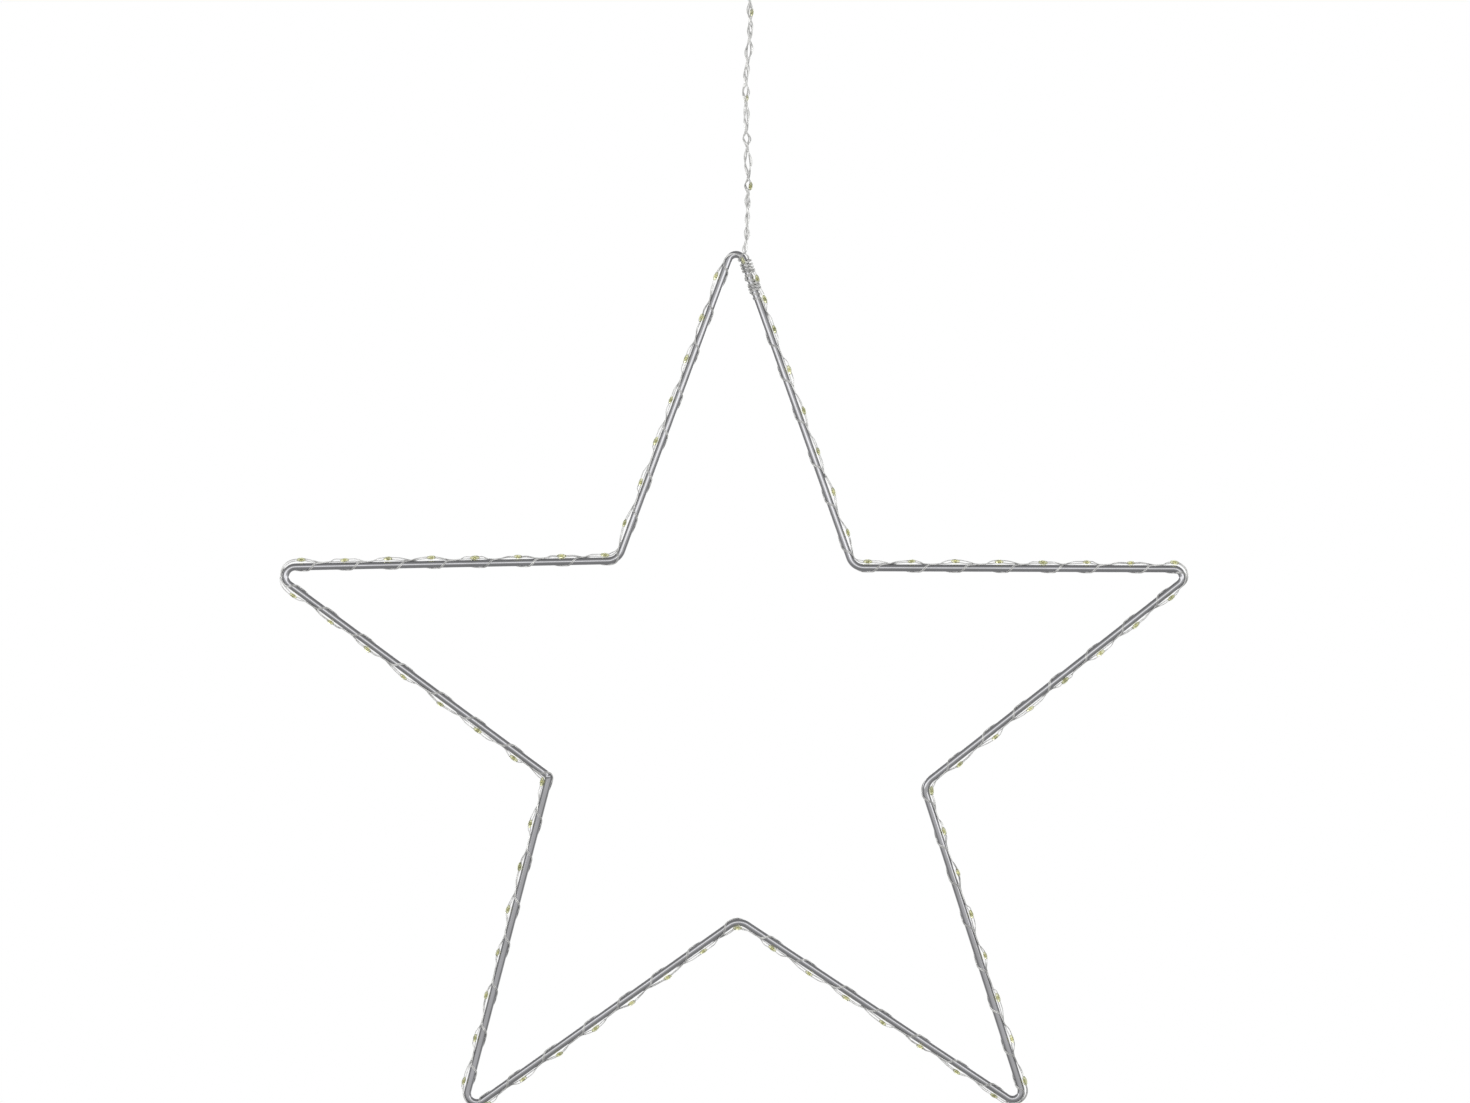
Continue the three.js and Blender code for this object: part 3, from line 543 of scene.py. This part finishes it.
def turned(flat, angle):
    """A flat vector turned anticlockwise."""
    c, s = math.cos(angle), math.sin(angle)
    return Vector((flat.x * c - flat.y * s, flat.x * s + flat.y * c))


def corner_point(k):
    """A corner's place from the star's middle. The even ones are the tips."""
    reach = corner_reach_shares[k] * (inner_reach if k % 2 else tip_reach)
    return turned(Vector((reach, 0)), math.radians(90 + 36 * k + corner_turns[k]))


corners = [corner_point(k) for k in range(10)]
bends = []
for k, corner in enumerate(corners):
    into = (corner - corners[k - 1]).normalized()
    out = (corners[(k + 1) % 10] - corner).normalized()
    turn = math.atan2(into.x * out.y - into.y * out.x, into.dot(out))
    radius = weld_bend if k == weld_corner else inner_bend if k % 2 else tip_bend
    radius *= corner_bend_shares[k]
    setback = radius * math.tan(abs(turn) / 2)
    bends.append({"start": corner - into * setback, "end": corner + out * setback, "into": into, "out": out,
                  "turn": turn, "radius": radius, "length": radius * abs(turn)})
runs = []
gone = -bends[0]["length"] / 2
for k, bend in enumerate(bends):
    bend["middle"] = gone + bend["length"] / 2
    runs.append({**bend, "along": gone})
    gone += bend["length"]
    length = (bends[(k + 1) % 10]["start"] - bend["end"]).length
    runs.append({"start": bend["end"], "into": bend["out"], "turn": 0, "along": gone, "length": length})
    gone += length
rod_total = gone + bends[0]["length"] / 2
marks = [*(bend["middle"] for bend in bends), rod_total]
print("rod:", round(rod_total / MM, 1), "mm round")


# %% Places round the rod
def line_at(distance):
    """The middle line's point, its direction and the way out of the star, in the star's own plane."""
    first = runs[0]["along"]
    wrapped = (distance - first) % rod_total + first
    run = [one for one in runs if one["along"] <= wrapped][-1]
    covered = wrapped - run["along"]
    if run["turn"] == 0:
        ahead = run["into"]
        point = run["start"] + ahead * covered
    else:
        angle = run["turn"] * covered / run["length"]
        ahead = turned(run["into"], angle)
        inward = Vector((-run["into"].y, run["into"].x)) * math.copysign(run["radius"], run["turn"])
        point = run["start"] + inward - turned(inward, angle)
    return point + star_middle, ahead, Vector((ahead.y, -ahead.x))


def around(along, turn, lift):
    """A point near the rod: how far along it, turns round it from outside by the front, and how far out."""
    point, _, outward = line_at(along)
    out = lift * math.cos(2 * math.pi * turn)
    return Vector((point.x + out * outward.x, -lift * math.sin(2 * math.pi * turn), point.y + out * outward.y))


# %% [markdown]
# The rod itself is drawn by extruding and spinning: a ring of points is pushed along each straight run and
# spun round each bend, much as a rod is bent by hand. At the left lower inner corner its two ends meet in a
# mitre, which is drawn as a tight bend. There a low, uneven bead of weld stands round the joint.

# %% The rod
rod_sides, straight_steps, bend_steps, weld_steps = 24, 4, 10, 14
merge_distance = 0.01 * MM
bead_height, bead_reach, bead_search = 0.28 * MM, 0.9 * MM, 6 * MM
# How coarse the bead's lumps are, the share of its height that it has between them, and what they add or take
lump_size, lump_middle, lump_play = 1.1 * MM, 0.75, 0.5
rod = bmesh.new()
start, ahead, outward = line_at(runs[0]["along"])
facing = Matrix(((outward.x, 0, ahead.x), (0, 1, 0), (outward.y, 0, ahead.y)))
bmesh.ops.create_circle(rod, segments=rod_sides, radius=rod_radius,
                        matrix=Matrix.Translation((start.x, 0, start.y)) @ facing.to_4x4())
edges = rod.edges[:]
for run in runs:
    if run["turn"] == 0:
        push = run["into"] * run["length"] / straight_steps
        for _ in range(straight_steps):
            grown = bmesh.ops.extrude_edge_only(rod, edges=edges)["geom"]
            fresh = [item for item in grown if isinstance(item, bmesh.types.BMVert)]
            edges = [item for item in grown if isinstance(item, bmesh.types.BMEdge)
                     and all(vert in fresh for vert in item.verts)]
            bmesh.ops.translate(rod, verts=fresh, vec=(push.x, 0, push.y))
    else:
        side = Vector((-run["into"].y, run["into"].x)) * math.copysign(run["radius"], run["turn"])
        hub = run["start"] + side + star_middle
        spun = bmesh.ops.spin(
            rod, geom=[*{vert for edge in edges for vert in edge.verts}, *edges], cent=(hub.x, 0, hub.y),
            axis=(0, -1, 0), angle=run["turn"], use_merge=False, use_duplicate=False,
            steps=weld_steps if run["radius"] == weld_bend else bend_steps,
        )["geom_last"]
        edges = [item for item in spun if isinstance(item, bmesh.types.BMEdge)]
bmesh.ops.remove_doubles(rod, verts=rod.verts, dist=merge_distance)
bmesh.ops.recalc_face_normals(rod, faces=rod.faces)
weld_point, weld_ahead, _ = line_at(bends[weld_corner]["middle"])
for vert in rod.verts:
    offset = Vector((vert.co.x, vert.co.z)) - weld_point
    away = abs(offset.dot(weld_ahead))
    if offset.length < bead_search and away < bead_reach:
        centre, _, _ = line_at(bends[weld_corner]["middle"] + offset.dot(weld_ahead))
        out = vert.co - Vector((centre.x, 0, centre.y))
        lumps = lump_middle + lump_play * noise.noise(vert.co / lump_size)
        vert.co += out.normalized() * bead_height * lumps * math.cos(away / bead_reach * math.pi / 2)
star_rod = made(rod, "star_rod")
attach(star_rod, "star")
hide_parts("star_frame")
give(chrome, star_rod)
print("rod:", len(star_rod.data.polygons), "faces")

# %% [markdown]
# The string runs twice round the star. From light to light it bows away from the rod on the outside, dips to
# the rod, crosses the front at a steep slant and comes round behind. The stops on that way are listed for one
# light, and repeated for every light, and a smooth line is then drawn through them. Two wires follow that line
# side by side.
#
# Both ends of the string are at the top tip, because the lead is their common length. The first end winds
# down the right shoulder and comes back up behind, and the last one is bound round the same place beneath it.

# %% The string's measures
hug_lift, bow_lift, layer_lift = 2.34 * MM, 3.5 * MM, 0.62 * MM
# For each side of the star: the shares of it at which its first and its last light lie, and how many it has
light_rows = [
    (0.09, 0.89, 7), (0.035, 0.945, 8), (0.065, 1.02, 8), (0.15, 0.94, 7), (0.04, 0.995, 8),
    (0.13, 0.93, 7), (0.05, 0.985, 8), (0.12, 0.925, 7), (0.03, 0.96, 8), (0.1, 0.745, 6),
]
# From a light to the next one: the share of the way, how far round, and in a bow how many layers off the rod
bow_end = [(0.13, 0, 1.45), (0.19, 0.01, 0.75), (0.245, 0.05, 0.1)]
crossing = [(0.32, 0.12), (0.36, 0.26), (0.4, 0.4), (0.43, 0.47), (0.49, 0.53), (0.54, 0.6), (0.61, 0.7),
            (0.65, 0.83)]
bow_start = [(0.275, -0.06, 0.1), (0.2, -0.02, 0.8), (0.13, -0.01, 1.45)]
least_bow = 25 * MM
# How far the lights and the bows vary from one to the next: a turn, millimetres out, and shares of the way
lean_play, lift_play, bow_play, crossing_play = (-0.025, 0.045), (-0.35, 0.4), (0.45, 1.12), (-0.04, 0.04)
# The wire beside a light: how many millimetres of it are held straight, and how far it sinks on each
light_half, light_sink = 2.4, 0.04
# The lights beside the tip: the share of the last side, how far round, and how far out
tip_lights = [(0.839, 0.03, 3.9 * MM), (0.903, 0.05, 3.9 * MM), (0.968, 0.27, 3.9 * MM)]
# Between those lights the windings hold the wire down: how far from the tip, in millimetres, and how far round
held_down = [[(22.7, 0.04), (19.8, 0.04)], [(12.2, 0.08), (9.2, 0.18)], []]
held_layer = 1.55
# Then it goes over the tip: the share of the last side, how far round, and the layer
over_tip = [(0.986, 0.28, 1.8), (1.0, 0.25, 1.1), (1.02, 0.17, 0.5), (1.038, 0.08, 0.2)]
# How far from the tip, in millimetres, the string's start passes outside the rod on each turn that it winds
winding_passes = [7.0, 9.0, 10.8, 12.4, 19.6, 21.2, 22.8]
winding_layer, over_lights = 0.88, 1.6 * MM
# Each knot of the winding: the turn, counted back from its end, and the distance from the tip in millimetres
winding_knots = [
    (-len(winding_passes) - 0.75, 3.0),
    *((k - len(winding_passes), away) for k, away in enumerate(winding_passes)),
    (-0.25, 24.4),
]
# Where the windings start to rise over the lights' wires, and where round the rod these wires lie
rise_turn, lights_turn = winding_knots[1][0] - 0.4, 0.1
winding_steps = 8
# The string's start goes back up behind: the share of the first side, how far round, and the layer
back_up = [(-0.148, -0.22, 2), (-0.14, -0.19, 2), (-0.1, -0.18, 2), (-0.05, -0.2, 2), (-0.02, -0.24, 1.6),
           (0, -0.25, 1), (0.02, -0.23, 0.5), (0.036, -0.14, 0.3), (0.052, -0.06, 0.4)]
# Its end is bound round the last side: from which share to which, how many turns, from where, and the last stop
tail_start, tail_end, tail_turns, tail_offset, tail_rise = 0.845, 0.96, 8, 0.06, (0.971, 8.02, 1)
places = []
for side, (first, last, count) in enumerate(light_rows):
    for k in range(count):
        share = first + (last - first) * k / (count - 1)
        places.append(marks[side] + (marks[side + 1] - marks[side]) * share)
pass_pitch = 2 * rod_total / (len(places) + len(tip_lights))
print("string:", len(places) + len(tip_lights), "lights,", round(pass_pitch / MM, 1), "mm apart on each pass")

# %% Helpers for the string's stops
stops, lights = [], []
chance = random.Random(11)


def wire_stop(along, turn, layer=0.0):
    """A stop of the wire alone, so many layers off the rod."""
    stops.append((along, turn, hug_lift + layer * layer_lift))


def light_stop(along, turn, lift, play=1.0):
    """A light with a stop to each side of it, leaning a little one way or the other."""
    lean = play * chance.uniform(*lean_play)
    lift += play * chance.uniform(*lift_play) * MM
    for away in (-light_half, 0, light_half):
        stops.append((along + away * MM, turn + lean, lift - abs(away) * light_sink * MM))
    lights.append(len(stops) - 2)


def bow_reach(reach):
    """How much of the way to the next light a bow takes up. Some are longer than others."""
    return max(chance.uniform(*bow_play) * reach, least_bow)


def way_on(here, reach, turn, leaves=True):
    """The stops from one light to the next, which is a turn on."""
    if leaves:
        bow = bow_reach(reach)
        for share, part, layer in bow_end:
            wire_stop(here + share * bow, turn + part, layer)
    shift = chance.uniform(*crossing_play)
    for share, part in crossing:
        wire_stop(here + (share + shift) * reach, turn + part)
    bow = bow_reach(reach)
    for share, part, layer in bow_start:
        wire_stop(here + reach - share * bow, turn + 1 + part, layer)


def string_pass(first, lap, turn):
    """Once round the star, over every other light. Returns the turn that it has come to."""
    for k in range(first, len(places), 2):
        light_stop(places[k] + lap, turn, bow_lift)
        if k + 2 < len(places):
            way_on(places[k] + lap, places[k + 2] - places[k], turn)
            turn += 1
    return turn


def on_last_side(share):
    """The place at a share of the last side, which ends at the tip."""
    last_side = len(light_rows) - 1
    length = marks[last_side + 1] - marks[last_side]
    return marks[last_side] + length * share


# %% The string's stops
for (turn, away), (next_turn, next_away) in zip(winding_knots, winding_knots[1:]):
    steps = round((next_turn - turn) * winding_steps)
    for k in range(steps):
        now = turn + (next_turn - turn) * k / steps
        lifted = 0
        if now > rise_turn:
            lifted = over_lights * max(math.cos(2 * math.pi * (now - lights_turn)), 0)
        wire_stop(-(away + (next_away - away) * k / steps) * MM, now, winding_layer + lifted / layer_lift)
winding_stops = len(stops)
for share, turn, layer in back_up:
    wire_stop(share * marks[1], turn, layer)
turn = string_pass(0, 0, 0)
way_on(places[-2], on_last_side(tip_lights[0][0]) - places[-2], turn)
turn += 1
for (share, part, lift), held in zip(tip_lights, held_down):
    light_stop(on_last_side(share), turn + part, lift, play=0)
    for away, held_part in held:
        wire_stop(rod_total - away * MM, turn + held_part, held_layer)
for share, part, layer in over_tip:
    wire_stop(on_last_side(share), turn + part, layer)
way_on(rod_total + places[1] - pass_pitch, pass_pitch, turn, leaves=False)
turn = string_pass(1, rod_total, turn + 1)
for share, part, layer in bow_end:
    wire_stop(rod_total + places[-1] + share * pass_pitch, turn + part, layer)
for k in range(tail_turns * winding_steps + 1):
    done = k / (tail_turns * winding_steps)
    share = tail_start + done * (tail_end - tail_start)
    wire_stop(rod_total + on_last_side(share), turn + tail_offset + done * tail_turns)
share, part, layer = tail_rise
wire_stop(rod_total + on_last_side(share), turn + part, layer)
print("string:", len(lights), "lights,", len(stops), "stops")


# %% The smooth line through the stops
string_step, least_distance = 1.15 * MM, 0.05 * MM


def eased(a, b, leave, arrive, t):
    """What lies at a share of the way from a to b, with a slope at each end."""
    return a + leave * t + (3 * (b - a) - 2 * leave - arrive) * t ** 2 + (2 * (a - b) + leave + arrive) * t ** 3


def slopes(values, spots):
    """A slope at each stop that never carries the line past a neighbour."""
    steps = [(b - a) / (t - s) for a, b, s, t in zip(values, values[1:], spots, spots[1:])]
    inner = [0 if a * b <= 0 else 2 * a * b / (a + b) for a, b in zip(steps, steps[1:])]
    return [steps[0], *inner, steps[-1]]


def smooth_line(stops, step):
    """Points along the stops, about a step apart, and which of them are the stops."""
    spots = [0.0]
    for before, after in zip(stops, stops[1:]):
        spots.append(spots[-1] + max((around(*after) - around(*before)).length, least_distance))
    columns = list(zip(*stops))
    leans = [slopes(column, spots) for column in columns]
    line, found = [], []
    for k in range(len(stops) - 1):
        width = spots[k + 1] - spots[k]
        pieces = max(1, math.ceil(width / step))
        found.append(len(line))
        for j in range(pieces):
            line.append(tuple(eased(column[k], column[k + 1], lean[k] * width, lean[k + 1] * width, j / pieces)
                              for column, lean in zip(columns, leans)))
    line.append(tuple(stops[-1]))
    found.append(len(line) - 1)
    return line, found


string_line, stop_spots = smooth_line(stops, string_step)
middles = [around(*spot) for spot in string_line]
string_length = sum((b - a).length for a, b in zip(middles, middles[1:]))
print("string:", round(string_length / MM), "mm long,", len(middles), "points")


# %% The string's two wires
# How far off the rod a bow begins to come loose, and how much further it is quite loose
loose_from, loose_over = 0.1 * MM, 0.8 * MM
# How far a loose pair is turned up on edge, how much wider it is, how much that varies, and over what length
upright, upright_play, upright_wave = 1.4, 0.4, 31 * MM
wider, wider_play, wider_wave = 0.6, 0.8, 37 * MM
# The string stays flat through its windings, up to the third stop before its first light
flat_stop = winding_stops + len(back_up) - 3
bridge_step = 0.5 * MM


def pair_offsets():
    """From the middle line to one wire of the pair, which lies flat on the rod and stands on edge in a bow."""
    offsets = []
    covered = 0.0
    for k, (along, _, lift) in enumerate(string_line):
        before, after = middles[max(k - 1, 0)], middles[min(k + 1, len(middles) - 1)]
        ahead = (after - before).normalized()
        foot, _, _ = line_at(along)
        outward = middles[k] - Vector((foot.x, 0, foot.y))
        outward = (outward - ahead * outward.dot(ahead)).normalized()
        covered += (middles[k] - before).length
        loose = min(max((lift - hug_lift - loose_from) / loose_over, 0), 1)
        if k < stop_spots[flat_stop]:
            loose = 0
        lean = loose * (upright + upright_play * math.sin(covered / upright_wave))
        width = pair_half_gap * (1 + loose * (wider + wider_play * math.sin(covered / wider_wave)))
        offsets.append(width * (outward.cross(ahead) * math.cos(lean) + outward * math.sin(lean)))
    return offsets


def bridge(before, start, end, after):
    """Points from start to end, leaving along the line from before and arriving along the line to after."""
    length = (end - start).length
    leave, arrive = (start - before).normalized() * length, (after - end).normalized() * length
    pieces = math.ceil(length / bridge_step)
    return [eased(start, end, leave, arrive, k / pieces) for k in range(1, pieces)]


def wire_route(wire):
    """One wire of the pair, from the lead's one strand, round the star and up to the lead's other strand."""
    way = 2 * wire - 1
    route = [middle + way * offset for middle, offset in zip(middles, offsets)]
    above = lead_bottom + MM
    first = [strand_point(z, 0, wire) for z in (above, lead_bottom)]
    last = [strand_point(z, 1, wire) for z in (lead_bottom, above)]
    down = bridge(*first, route[0], route[1])
    up = bridge(route[-2], route[-1], *last)
    return [first[1], *down, *route, *up, last[0]]


offsets = pair_offsets()
string_wires = wires("string_wires", [wire_route(0), wire_route(1)], wire_radius)
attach(string_wires, "star")
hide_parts("light_string")
give(silver, string_wires)

# %% The lights on the star
light_places = []
for light in lights:
    spot = stop_spots[light]
    light_places.append(placed(middles[spot], middles[spot + 1] - middles[spot - 1], offsets[spot]))
star_drops, star_chips = light_meshes("star_light", light_places, seed=5)
for piece in (star_drops, star_chips):
    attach(piece, "star")
give(resin, star_drops)
give(phosphor, star_chips)

# %% [markdown]
# The battery box hangs above the picture. Most of its solids already have their real shapes, so they stay and
# only get their finishes: fine-grained white plastic, spring steel, a green board and so on. Two things are
# made anew: the lead's four wires where they end on the board, each in a dot of solder, and the cells, whose
# plain solids have too few sides to look round.

# %% The lead's ends inside the box
board_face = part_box("circuit_board")[1].y
grommet_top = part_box("strain_relief")[1].z
pad_margin = 0.6 * MM
pad_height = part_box("lead_tail")[1].z - pad_margin
pad_places = [-3.3 * MM, -1.8 * MM, -0.3 * MM, 1.2 * MM]
pad_size = Vector((0.6, 0.28, 0.6)) * MM
# In the grommet the wires stand so far apart, and by turns before and behind. They end just off the board
wire_pitch, wire_stagger, end_lift = 0.6 * MM, 0.3 * MM, 0.3 * MM
# On their way they bend back above the grommet, and then stand off the board a little below their pads
bend_back, bend_height, last_share, last_lift, last_drop = 0.4 * MM, 2 * MM, 0.8, 0.9 * MM, 1.8 * MM
tail_routes = []
for k, across in enumerate(pad_places):
    aside, behind = (k - 1.5) * wire_pitch, wire_stagger if k % 2 else -wire_stagger
    spots = [Vector(spot) for spot in (
        (aside, behind, grommet_top - MM),
        (aside, behind, grommet_top),
        (aside, behind - bend_back, grommet_top + bend_height),
        (across * last_share, board_face + last_lift, pad_height - last_drop),
        (across, board_face + end_lift, pad_height),
        (across, board_face + end_lift, pad_height + end_lift),
    )]
    route = [spots[0]]
    for before, here, there, after in zip(spots, spots[1:], spots[2:], spots[3:]):
        route += [here, *bridge(before, here, there, after)]
    tail_routes.append([*route, *spots[-2:]])
tail_wires = wires("tail_wires", tail_routes, wire_radius)
solder = bmesh.new()
solder.from_mesh(tail_wires.data)
for across in pad_places:
    bmesh.ops.create_uvsphere(solder, u_segments=16, v_segments=10, radius=1, matrix=Matrix.Translation(
        (across, board_face, pad_height)) @ Matrix.Diagonal((*pad_size, 1)))
for face in solder.faces:
    face.smooth = True
solder.to_mesh(tail_wires.data)
solder.free()
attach(tail_wires, "box")
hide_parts("lead_tail")
give(silver, tail_wires)

# %% Helpers for patterned finishes
# A wave texture of scale 1 has a line every so many metres. Lines and groups are drawn above their thresholds
wave_length, line_threshold, group_threshold = 0.314, 0.75, 0.5


def across(tree):
    """Where a point of a piece lies from left to right."""
    return new_node(tree, "SeparateXYZ", Vector=own_place(tree)).outputs["X"]


def overpainted(tree, cover, shade):
    """Lays a plain shade over the colour that a material has, as far as the cover goes."""
    colour = tree.nodes["Principled BSDF"].inputs["Base Color"]
    tree.links.new(painted(tree, cover, colour.links[0].from_socket, (*shade, 1)), colour)


def bared_ends(material, low, high, metal):
    """Keeps the colour between two places and bares the metal beyond them."""
    tree = material.node_tree
    sleeved = reckoned(tree, "COMPARE", across(tree), (low + high) / 2, (high - low) / 2)
    bare = reckoned(tree, "SUBTRACT", 1, sleeved)
    overpainted(tree, bare, metal)
    feed_by_name(tree, tree.nodes["Principled BSDF"], Metallic=bare)


def ringed(material, low, high, rings):
    """Paints rings round a piece that lies from left to right: where each begins and ends, and its colour."""
    tree = material.node_tree
    for begins, ends, shade in rings:
        middle, half = low + (high - low) * (begins + ends) / 2, (high - low) * (ends - begins) / 2
        overpainted(tree, reckoned(tree, "COMPARE", across(tree), middle, half), shade)


def tracked(material, pitch, field, shade):
    """Lays groups of lighter lines under the lacquer of the board, as its copper shows through."""
    tree = material.node_tree
    place = own_place(tree)
    lines = new_node(tree, "TexWave", Vector=place, Scale=wave_length / pitch, Distortion=0)
    lines.bands_direction = "Z"
    groups = new_node(tree, "TexVoronoi", Vector=place, Scale=1 / field)
    groups.distance = "CHEBYCHEV"
    group = new_node(tree, "SeparateColor", Color=groups.outputs["Color"])
    drawn = reckoned(tree, "GREATER_THAN", lines.outputs["Fac"], line_threshold)
    chosen = reckoned(tree, "GREATER_THAN", group.outputs["Red"], group_threshold)
    overpainted(tree, reckoned(tree, "MULTIPLY", drawn, chosen), shade)


# %% Finishes of the battery box
plastic = finish("grained_plastic", (0.80, 0.80, 0.78), (0.86, 0.86, 0.84), cloud=40, gloss=(0.42, 0.55),
                 grain=2200, bump=0.25)
spring_steel = finish("spring_steel", (0.55, 0.54, 0.50), (0.70, 0.69, 0.65), cloud=220, gloss=(0.2, 0.38),
                      grain=1200, Metallic=1.0)
board_green = finish("board_lacquer", (0.03, 0.16, 0.08), (0.05, 0.22, 0.11), cloud=180, gloss=(0.25, 0.4),
                     grain=1500)
tracked(board_green, pitch=1.2 * MM, field=7 * MM, shade=(0.08, 0.30, 0.15))
black = finish("black_plastic", (0.012, 0.012, 0.013), (0.025, 0.025, 0.027), cloud=300, gloss=(0.4, 0.55),
               grain=2500, bump=0.2)
ceramic = finish("tan_ceramic", (0.55, 0.44, 0.28), (0.64, 0.53, 0.36), cloud=400, gloss=(0.4, 0.55),
                 grain=2500)
resistor_low, resistor_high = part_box("resistor")
ringed(ceramic, resistor_low.x, resistor_high.x, [
    (0.24, 0.32, (0.35, 0.12, 0.05)), (0.38, 0.46, (0.02, 0.02, 0.02)),
    (0.52, 0.6, (0.5, 0.05, 0.03)), (0.7, 0.76, (0.55, 0.4, 0.12)),
])
rubber = finish("soft_grommet", (0.62, 0.62, 0.61), (0.70, 0.70, 0.69), cloud=150, gloss=(0.55, 0.7),
                grain=1800, bump=0.2)
finished_nodes = [
    (plastic, ["box_housing", "battery_cover"]),
    (spring_steel, [name for name in nodes if "contact" in name or "screw" in name]),
    (spring_steel, ["crystal", "switch_body"]),
    (board_green, ["circuit_board"]),
    (black, ["timer_chip", "switch_knob"]),
    (ceramic, ["resistor"]),
    (rubber, ["strain_relief"]),
]
for material, names in finished_nodes:
    give(material, *(nodes[name] for name in names))
print("box: finishes on", sum(len(names) for _, names in finished_nodes), "nodes")

# %% The cells
sleeve_shades = [((0.16, 0.28, 0.22), (0.20, 0.33, 0.26)), ((0.15, 0.27, 0.21), (0.21, 0.34, 0.27)),
                 ((0.17, 0.29, 0.23), (0.20, 0.32, 0.25))]
nub_length, nub_radius = 1.2 * MM, 2.75 * MM
nub_root = 3 * nub_length
sleeve_margin = 1.1 * MM
bare_metal = (0.66, 0.65, 0.62)
cell_sides, rim_steps, rim_round = 64, 4, 0.5 * MM
for k, (low_shade, high_shade) in enumerate(sleeve_shades, 1):
    low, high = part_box(f"battery_cell_{k}")
    nub_left = k % 2 == 1
    can_low, can_high = (low.x + nub_length, high.x) if nub_left else (low.x, high.x - nub_length)
    nub_low, nub_high = (low.x, low.x + nub_root) if nub_left else (high.x - nub_root, high.x)
    middle = (low + high) / 2
    radius = (high.z - low.z) / 2
    cell = bmesh.new()
    for begins, ends, out in ((can_low, can_high, radius), (nub_low, nub_high, nub_radius)):
        centre = Matrix.Translation(((begins + ends) / 2, middle.y, middle.z))
        bmesh.ops.create_cone(
            cell, cap_ends=True, segments=cell_sides, radius1=out, radius2=out, depth=ends - begins,
            matrix=centre @ Matrix.Rotation(math.pi / 2, 4, "Y"),
        )
    rims = [edge for edge in cell.edges if any(len(face.verts) > 4 for face in edge.link_faces)]
    bmesh.ops.bevel(cell, geom=rims, offset=rim_round, affect="EDGES", segments=rim_steps, profile=0.5,
                    material=-1)
    piece = made(cell, f"cell_{k}")
    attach(piece, "box")
    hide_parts(f"battery_cell_{k}")
    sleeve = finish(f"cell_sleeve_{k}", low_shade, high_shade, cloud=120, gloss=(0.25, 0.35), grain=900)
    bared_ends(sleeve, can_low + sleeve_margin, can_high - sleeve_margin, bare_metal)
    give(sleeve, piece)
    print(piece.name + ":", len(piece.data.polygons), "faces")
